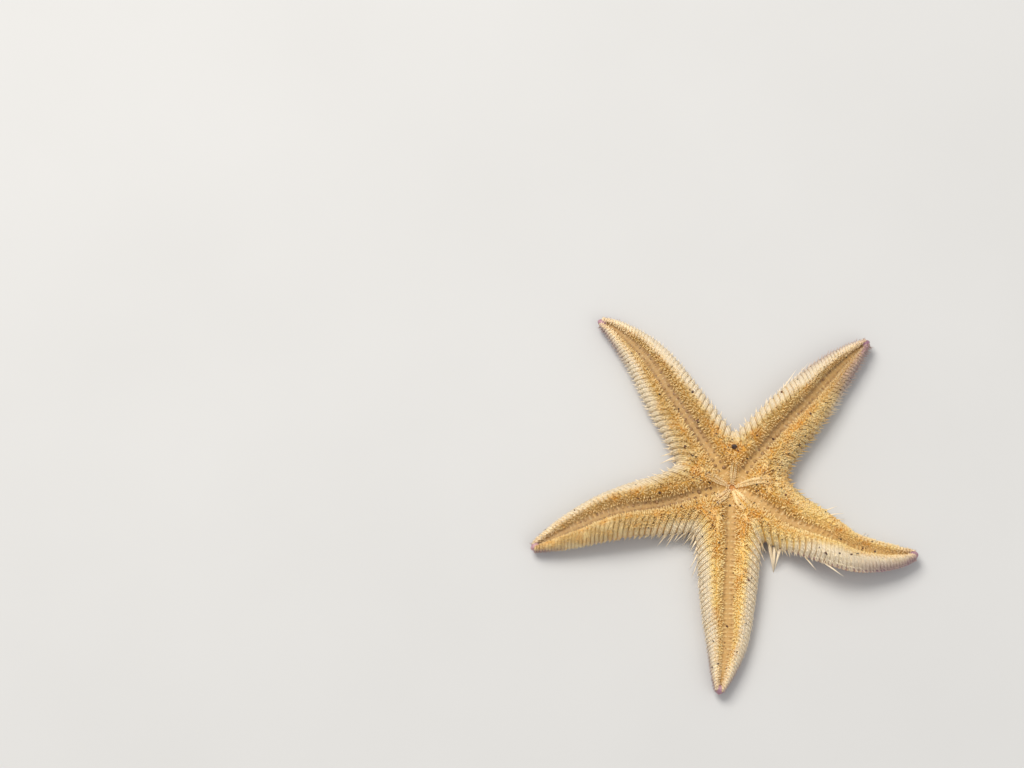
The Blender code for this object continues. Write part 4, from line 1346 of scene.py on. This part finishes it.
def jaw_spines(star, draw):
    """Pale spines along the jaws' borders, small ones on their keels, and a few over the mouth."""
    tufts = Tufts(draw)
    for number, sizes in enumerate(JAWS):
        for half in star[2 * number : 2 * number + 2]:
            for beside, count, up, size, lean in JAW_SPINE_ROWS:
                shares = np.linspace(0.03, 0.97, count) + draw.uniform(-0.02, 0.02, count)
                s, d, _, high = jaw_line(half, sizes, shares, beside)
                keep = d > 0.0001
                s, d, high = s[keep], d[keep], high[keep]
                count = len(s)
                places, normals = half.surface(s, d)
                places = places + np.array([0.0, 0.0, 1.0]) * (up * high - 0.0002)[:, None]
                outward = half.direction(s, math.cos(half.spread), math.sin(half.spread), 0.0)
                across = half.direction(s, math.sin(half.spread), -math.cos(half.spread), 0.0)
                back = draw.uniform(-0.9, -0.1, (count, 1)) if up else draw.uniform(-0.4, 0.5, (count, 1))
                aims = normals + across * (lean + draw.uniform(-0.2, 0.2, (count, 1))) + outward * back
                broad = 0.00026 if up else 0.0003
                length = size * draw.uniform(0.8, 1.2, count)
                tufts.plant(
                    half,
                    s,
                    0.5 * d / 0.007,
                    places,
                    aims,
                    outward,
                    (broad, 0.8 * broad, length),
                    tint=draw.random(count),
                    rim=0.75 if up else 0.45,
                )
    return tufts


TIP_PINK = (0.25, 0.55, 1.0, 0.45, 0.25)


def tips(star, finish):
    """The rounded plate at each arm's end, lumpy, with a notch on the mouth side."""
    bm = bmesh.new()
    pink = bm.verts.layers.float.new("pink")
    stations, sides = 16, 28
    angles = 2 * math.pi * np.arange(sides) / sides
    for half in star[::2]:
        arm = half.arm
        base = arm.length - TIP_LENGTH
        wide = TIP_WIDTH * float(arm.half_width(base))
        tall = TIP_TALL * float(arm.height(base))
        rings = []
        for k in range(stations):
            share = k / (stations - 1)
            turn = lerp(-0.18, 0.49, share) * math.pi
            s = base + TIP_LENGTH * (0.18 + 0.80 * math.sin(turn))
            notch = 0.30 * np.exp(-(((angles - math.pi / 2) / 0.35) ** 2)) * (1 - share)
            ripple = 0.05 * np.sin(5 * angles + 3.1 * k) * math.sin(2.3 * k)
            lump = math.cos(turn) ** 1.25 * (1 + ripple - notch)
            up = 0.50 * arm.height(base) + 0.5 * tall * lump * np.sin(angles)
            rings.append(arm.place(np.full(sides, s), wide * lump * np.cos(angles), up))
        for vert in sum(loft(bm, rings), []):
            vert[pink] = TIP_PINK[arm.number]
    return closed_mesh("tips", bm, finish)


def madreporite(finish):
    """A low button on the back, its lower face cut by winding grooves that run out from the middle."""
    bm = bmesh.new()
    x, y, low = button_place()
    stations, sides = 14, 72
    angles = 2 * math.pi * np.arange(sides) / sides
    rings = []
    for share in np.linspace(1 / stations, 1.0, stations):
        wander = 0.7 * np.sin(4.0 * share + 2 * angles)
        cut = 0.5 + 0.5 * np.cos(12 * angles + 3 * wander)
        depth = 0.00010 * cut * math.sin(math.pi * min(share, 0.95)) + 0.00022 * share**5
        radius = MADREPORITE_RADIUS * share
        ring = x + radius * np.cos(angles), y + radius * np.sin(angles), low + depth
        rings.append(np.stack(ring, axis=-1))
    top = rings[-1].copy()
    top[:, 2] = low + MADREPORITE_HEIGHT
    loft(bm, rings + [top])
    return closed_mesh("madreporite_button", bm, finish)


SPECKS = (
    # the larger ones: the half, then s, d and half the width in millimetres
    (1, 6.8, 4.7, 0.58),
    (1, 16.4, 1.6, 0.36),
    (1, 22.3, 3.7, 0.30),
    (1, 23.1, 3.6, 0.20),
    (2, 25.7, 2.6, 0.20),
    (2, 32.6, 1.6, 0.26),
    (2, 38.0, 2.1, 0.20),
    (2, 12.4, 4.3, 0.33),
    (2, 9.9, 4.1, 0.25),
    (3, 8.1, 3.4, 0.23),
    (1, 11.3, 3.0, 0.20),
    (9, 14.1, 0.4, 0.33),
    (9, 16.6, 5.3, 0.34),
    (9, 23.5, 2.7, 0.28),
    (0, 23.2, 5.0, 0.24),
    (9, 10.2, 5.1, 0.23),
    (8, 11.1, 4.0, 0.28),
    (4, 12.2, 2.5, 0.23),
    (3, 15.9, 2.4, 0.29),
    (3, 18.1, 1.6, 0.20),
    (4, 3.6, 1.1, 0.26),
    (6, 10.8, 1.7, 0.28),
    (7, 25.9, 5.0, 0.34),
    (7, 28.2, 4.3, 0.20),
    (6, 21.6, 4.1, 0.29),
    (6, 19.6, 1.2, 0.23),
    (5, 14.3, 0.7, 0.28),
    (5, 13.6, 2.7, 0.25),
    (5, 9.9, 3.9, 0.23),
    (5, 31.6, 0.2, 0.23),
    (5, 35.5, 2.9, 0.23),
)
SMALL_SPECKS = 170
CLUSTERED_SPECKS = 64
# The halves that they gather on, some of them twice.
CLUSTERS = (2, 3, 8, 9, 9, 8, 5, 1)


def specks(star, finish, draw):
    """Small dark specks that cling to the mouth side, here and there."""
    bm = bmesh.new()
    rows = [(number, s / 1000, d / 1000, size / 1000) for number, s, d, size in SPECKS]
    for _ in range(SMALL_SPECKS):
        number = int(draw.integers(len(star)))
        s = 0.004 + (star[number].arm.length - 0.007) * draw.random() ** 1.3
        half = star[number]
        edge = float(half.edge(s)) if s > half.notch_s else s * math.tan(half.spread)
        d = edge * draw.uniform(0.05, 0.90)
        rows.append((number, s, d, 0.00010 + 0.00013 * draw.random() ** 2))
    for _ in range(CLUSTERED_SPECKS):
        number = CLUSTERS[int(draw.integers(len(CLUSTERS)))]
        radius, turn = draw.uniform(0.0055, 0.0115), star[number].spread * draw.uniform(0.45, 0.98)
        size = draw.uniform(0.00009, 0.00018)
        rows.append((number, radius * math.cos(turn), radius * math.sin(turn), size))
    for number, s, d, size in rows:
        half = star[number]
        place, normal = half.surface(np.array([s]), np.array([d]))
        made = bmesh.ops.create_icosphere(bm, subdivisions=2, radius=1.0)["verts"]
        stretch = Vector((draw.uniform(0.9, 1.5), draw.uniform(0.8, 1.1), draw.uniform(0.5, 0.9))) * size
        turn = Matrix.Rotation(draw.uniform(0, 6.28), 3, Vector((draw.random(), draw.random(), 1.0)))
        stand = 0.38 * float(half.pitch(s)) if half.furrow(s, d) < 0.5 else 0.0001
        centre = Vector(place[0] + normal[0] * stand)
        phase = draw.uniform(0, 6.28, 3)
        for vert in made:
            x, y, z = vert.co
            dent = 1 + 0.20 * math.sin(2.9 * x + phase[0]) + 0.18 * math.sin(4.1 * y + 2.2 * z + phase[1])
            vert.co = centre + turn @ (vert.co * dent * stretch)
    return closed_mesh("specks", bm, finish)


# Finishes

GOLD = (0.92, 0.66, 0.22, 1.0)
DISC_GOLD = (0.78, 0.44, 0.065, 1.0)
DEEP_GOLD = (0.74, 0.38, 0.05, 1.0)
TAWNY = (0.56, 0.31, 0.06, 1.0)
PALE_GOLD = (0.95, 0.76, 0.38, 1.0)
CREAM = (0.92, 0.72, 0.43, 1.0)
WHITE = (0.94, 0.81, 0.62, 1.0)
GROOVE = (0.56, 0.33, 0.10, 1.0)
BROWN = (0.17, 0.085, 0.035, 1.0)
UMBER = (0.34, 0.19, 0.10, 1.0)
FOOT = (0.22, 0.11, 0.04, 1.0)
VIOLET = (0.22, 0.10, 0.16, 1.0)
PINK = (0.62, 0.36, 0.36, 1.0)
MAUVE = (0.34, 0.21, 0.21, 1.0)
SAND = (0.50, 0.35, 0.24, 1.0)
TAN = (0.60, 0.44, 0.29, 1.0)
DARK = (0.035, 0.022, 0.015, 1.0)
RUST = (0.17, 0.065, 0.028, 1.0)
MOUTH = (0.56, 0.24, 0.05, 1.0)
CREVICE = (0.86, 0.58, 0.25, 1.0)
JAW_CREAM = (0.83, 0.60, 0.29, 1.0)
TRANSLUCENT = {"Subsurface_Weight": 0.12, "Subsurface_Scale": 0.0004, "Subsurface_Radius": (1.0, 0.7, 0.4)}


def paling(make):
    """The rim attribute, shifted so that gold reaches further out near the disc than at the tips."""
    return make.attribute("rim") - 0.26 * (1.0 - make.rising(make.attribute("reach"), 0.15, 0.85)) + 0.1


def golden(make):
    """The gold of the mouth side, alike on all its pieces: deeper in patches, and on the disc."""
    disc = 1.0 - make.rising(make.attribute("reach"), 0.10, 0.42)
    patch = make.rising(make.noise(0.0036, 3.0) + 0.10 * disc, 0.50, 0.64)
    plain = make.mix(make.attribute("depth"), make.mix(disc, GOLD, DISC_GOLD), TAWNY)
    pale = make.rising(make.noise(0.0021, 3.0), 0.50, 0.66)
    return make.mix(0.55 * pale, make.mix(0.9 * patch, plain, DEEP_GOLD), PALE_GOLD)


def skin_finish():
    make = Finish("skin", Roughness=0.5, **TRANSLUCENT)
    broad, fine = make.noise(0.005), make.noise(0.0009, 3.0)
    rim = make.rising(paling(make) + 0.25 * (broad - 0.5), 0.45, 0.75)
    colour = make.mix(0.35 * make.rising(fine, 0.35, 0.7), golden(make), DEEP_GOLD)
    colour = make.mix(rim, colour, PALE_GOLD)
    # The groove's floor goes towards BROWN by dim: brown round the tube feet, and painted shade all along it.
    floor = make.mix(0.5 * make.attribute("dim"), GROOVE, BROWN)
    colour = make.mix(make.attribute("furrow"), colour, floor)
    back = make.mix(make.rising(fine, 0.35, 0.7), SAND, PINK)
    colour = make.mix(make.attribute("under"), colour, back)
    colour = make.mix(make.attribute("violet"), colour, VIOLET)
    x, y, _ = make.parts(make.place)
    middle = 1.0 - make.rising((x * x + y * y) * 1e6, 0.5, 1.6)
    colour = make.mix(middle * (1.0 - make.attribute("under")), colour, MOUTH)
    return make.finish(
        Base_Color=colour,
        Roughness=0.42 + 0.3 * fine,
        Normal=make.bump(make.noise(0.00035, 3.0), 0.00008),
    )


def plate_finish():
    make = Finish("plates", Roughness=0.55, **TRANSLUCENT)
    broad, fine = make.noise(0.004), make.noise(0.0006, 3.0)
    rim = make.rising(paling(make) + 0.3 * (broad - 0.5), 0.36, 0.66)
    colour = make.mix(rim, golden(make), make.mix(0.5 + 0.4 * make.attribute("tint"), CREVICE, CREAM))
    colour = make.mix(0.3 * make.rising(fine, 0.45, 0.7), colour, PALE_GOLD)
    tone = make.mix(fine, VIOLET, PINK)
    colour = make.mix(make.attribute("violet"), colour, tone)
    return make.finish(
        Base_Color=colour,
        Roughness=0.45 + 0.25 * fine,
        Normal=make.bump(make.noise(0.00025, 3.0), 0.00006),
    )


def spine_finish(name, tip, paleness):
    """Spines are golden inside and pale towards the edge, each paler towards its point."""
    make = Finish(name, Roughness=0.45)
    fine = make.noise(0.0008)
    gold = make.mix(make.attribute("tint") * 0.5, golden(make), PALE_GOLD)
    whiteness = 0.15 + 0.4 * make.attribute("tint") + 0.4 * make.rising(make.attribute("reach"), 0.2, 0.9)
    pale = make.mix(whiteness, CREAM, tip)
    colour = make.mix(make.rising(paling(make) + 0.3 * (make.noise(0.004) - 0.5), 0.36, 0.66), gold, pale)
    colour = make.mix(make.rising(make.attribute("tipward"), 0.3, 1.0) * paleness, colour, tip)
    colour = make.mix(0.3 * make.rising(fine, 0.5, 0.75), colour, PALE_GOLD)
    colour = make.mix(make.attribute("violet"), colour, MAUVE)
    return make.finish(Base_Color=colour, Roughness=0.4 + 0.2 * fine)


def groove_finish():
    make = Finish("groove_plates", Roughness=0.4, **TRANSLUCENT)
    fine = make.noise(0.0012, 3.0)
    colour = make.mix(0.4 * make.attribute("tint"), GROOVE, PALE_GOLD)
    colour = make.mix(0.35 * make.rising(fine, 0.45, 0.7), colour, DEEP_GOLD)
    # Patches of brown round the tube feet, with painted shade along the groove's floor.
    stain_and_shade = make.attribute("dim") * (0.30 + 0.30 * make.rising(make.noise(0.0016, 2.0), 0.35, 0.6))
    colour = make.mix(stain_and_shade, colour, BROWN)
    return make.finish(Base_Color=colour, Roughness=0.35 + 0.25 * fine)


def tube_foot_finish():
    make = Finish("tube_feet", Roughness=0.35)
    fine = make.noise(0.0006, 3.0)
    colour = make.mix(make.attribute("tint"), GROOVE, FOOT)
    colour = make.mix(0.3 * make.rising(fine, 0.4, 0.7), colour, GROOVE)
    return make.finish(Base_Color=colour, Roughness=0.3 + 0.2 * fine)


def jaw_finish():
    make = Finish("jaws", Roughness=0.45, **TRANSLUCENT)
    fine = make.noise(0.0007, 3.0)
    colour = make.mix(make.rising(make.attribute("up"), 0.35, 0.95), GOLD, JAW_CREAM)
    colour = make.mix(0.6 * make.rising(fine, 0.42, 0.72), colour, PALE_GOLD)
    colour = make.mix(0.6 * make.rising(make.attribute("along"), 0.45, 1.0), colour, TAWNY)
    brown = make.attribute("brown") * make.rising(make.noise(0.0011, 2.0), 0.30, 0.62)
    colour = make.mix(0.8 * brown, colour, UMBER)
    return make.finish(
        Base_Color=colour,
        Roughness=0.4 + 0.2 * fine,
        Normal=make.bump(make.noise(0.0003, 3.0), 0.00008),
    )


def tip_finish():
    make = Finish("tips", Roughness=0.5, **TRANSLUCENT)
    fine = make.noise(0.0007, 3.0)
    share = 0.45 * make.rising(fine, 0.35, 0.7) + 0.6 * make.attribute("pink")
    colour = make.mix(share, VIOLET, PINK)
    return make.finish(
        Base_Color=colour,
        Roughness=0.4 + 0.3 * fine,
        Normal=make.bump(make.noise(0.0003, 3.0), 0.0001),
    )


def back_finish(name, first, second):
    make = Finish(name, Roughness=0.6)
    broad, fine = make.noise(0.006), make.noise(0.0009, 3.0)
    colour = make.mix(make.rising(0.6 * broad + 0.4 * fine, 0.38, 0.62), first, second)
    return make.finish(Base_Color=colour, Roughness=0.5 + 0.3 * fine)


def speck_finish():
    make = Finish("specks", Roughness=0.5)
    fine = make.noise(0.0015, 3.0)
    colour = make.mix(make.rising(fine, 0.40, 0.62), DARK, RUST)
    return make.finish(Base_Color=colour, Roughness=0.4 + 0.3 * fine)


def floor_finish():
    make = Finish("floor", Roughness=0.8)
    broad = make.noise(0.05, 3.0)
    colour = make.mix(broad, (0.56, 0.55, 0.53, 1.0), (0.60, 0.59, 0.57, 1.0))
    return make.finish(Base_Color=colour)


# Camera, floor and light

FRAME_WIDTH, FRAME_HEIGHT = 1024, 768
MOUTH_PIXEL = (732.4, 484.3)
METRES_A_PIXEL = 0.0002195
FIELD = math.radians(12)
ELEVATION = math.radians(72.8)
FLOOR_HALF = 2.0


def camera():
    """The photograph's angle and framing, found from the mouth's pixel and the scale there."""
    focal = FRAME_WIDTH / 2 / math.tan(FIELD / 2)
    forward = Vector((0.0, math.cos(ELEVATION), -math.sin(ELEVATION)))
    right = Vector((1.0, 0.0, 0.0))
    up = right.cross(forward)
    depth = focal * METRES_A_PIXEL
    right_of = (MOUTH_PIXEL[0] - FRAME_WIDTH / 2) / focal
    below = (MOUTH_PIXEL[1] - FRAME_HEIGHT / 2) / focal
    place = Vector((0.0, 0.0, MOUTH_HEIGHT)) - (forward + right * right_of - up * below) * depth
    made = new_object("camera", bpy.data.cameras.new("camera"))
    made.data.angle = FIELD
    made.data.sensor_width = 36
    axes = Matrix((right, up, -forward)).transposed().to_4x4()
    made.matrix_world = Matrix.Translation(place) @ axes
    bpy.context.scene.camera = made


def lamp(name, place, energy, size, colour):
    light = bpy.data.lights.new(name, "AREA")
    light.energy = energy
    light.size = size
    light.color = colour
    made = new_object(name, light)
    made.location = place
    made.rotation_euler = Vector(place).to_track_quat("Z", "Y").to_euler()


def studio():
    mesh = bpy.data.meshes.new("floor")
    corners = [(x * FLOOR_HALF, y * FLOOR_HALF, 0.0) for x, y in ((-1, -1), (1, -1), (1, 1), (-1, 1))]
    mesh.from_pydata(corners, [], [(0, 1, 2, 3)])
    mesh.materials.append(floor_finish())
    new_object("floor", mesh)
    lamp("key", (-0.32, 0.42, 0.80), 8.0, 0.5, (1.0, 0.98, 0.95))
    lamp("fill", (0.6, -0.5, 0.9), 2.6, 0.8, (0.97, 0.98, 1.0))
    world = bpy.data.worlds.new("soft light")
    world.use_nodes = True
    world.node_tree.nodes["Background"].inputs["Color"].default_value = (0.97, 0.98, 1.0, 1.0)
    world.node_tree.nodes["Background"].inputs["Strength"].default_value = 0.55
    bpy.context.scene.world = world
    bpy.context.scene.view_settings.view_transform = "Standard"


def put(piece, slot, *nodes):
    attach(piece, "root")
    if nodes:
        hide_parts(*nodes)


def main():
    star = halves()
    arm_nodes = [f"arm_{n + 1}_{part}" for n in range(len(ARMS)) for part in ("inner", "middle", "outer")]
    body = ["disc"] + arm_nodes
    jaw_nodes = [f"jaw_{n + 1}" for n in range(len(JAWS))]
    tip_nodes = [f"arm_{n + 1}_tip_plate" for n in range(len(ARMS))]
    rod, spine = rod_tree(), spine_tree()
    draw = np.random.default_rng(SEED)

    flesh = skin(star, skin_finish())
    plates = edge_plates(star, draw)
    chalk, bars = plate_finish(), groove_finish()
    upper = rods("inferomarginal_plates", plate_lines(plates), rod, chalk, 10)
    lower = rods("superomarginal_plates", lower_lines(plates), rod, chalk, 10)
    floor_plates = rods("groove_plates", groove_lines(star, draw), rod, bars, 12)
    pale, gold = spine_finish("pale_spines", WHITE, 0.45), spine_finish("golden_spines", CREAM, 0.25)
    foot = tube_foot_finish()
    combs = comb_spines(plates, star, draw).grow("comb_spines", spine, pale, Sides=5, Point=0.06, Swell=0.6)
    scales = plate_scales(plates, draw).grow("plate_scales", scale_tree(), pale)
    furrow = furrow_spines(star, draw).grow("furrow_spines", spine, gold, Sides=4, Point=0.3, Swell=1.0)
    feet = tube_feet(star, draw).grow("tube_feet", spine, foot, Sides=8, Point=0.36, Swell=1.0)
    keels = jaws(star, jaw_finish())
    teeth = jaw_spines(star, draw).grow("jaw_spines", spine, gold, Sides=5, Point=0.25, Swell=0.8)
    ends = tips(star, tip_finish())
    button = madreporite(back_finish("madreporite", SAND, TAN))
    knobs = back_finish("paxillae", SAND, PINK)
    crowns = grown("paxillae", flesh, paxilla_tree(), knobs, **PAXILLAE, Seed=SEED)
    tuft_uv(crowns.data)
    grains = specks(star, speck_finish(), draw)

    put(flesh, "skin", *body)
    put(upper, "plates", *body)
    put(lower, "plates", *arm_nodes)
    put(scales, "plates", *body)
    put(combs, "spines", *body)
    put(furrow, "spines", *body)
    for piece in (floor_plates, feet, crowns, grains):
        put(piece, "skin", *body)
    put(keels, "jaws", *jaw_nodes)
    put(teeth, "jaws", *jaw_nodes)
    put(ends, "tips", *tip_nodes)
    put(button, "madreporite", "madreporite")
    studio()
    camera()


main()
bpy.context.view_layer.update()
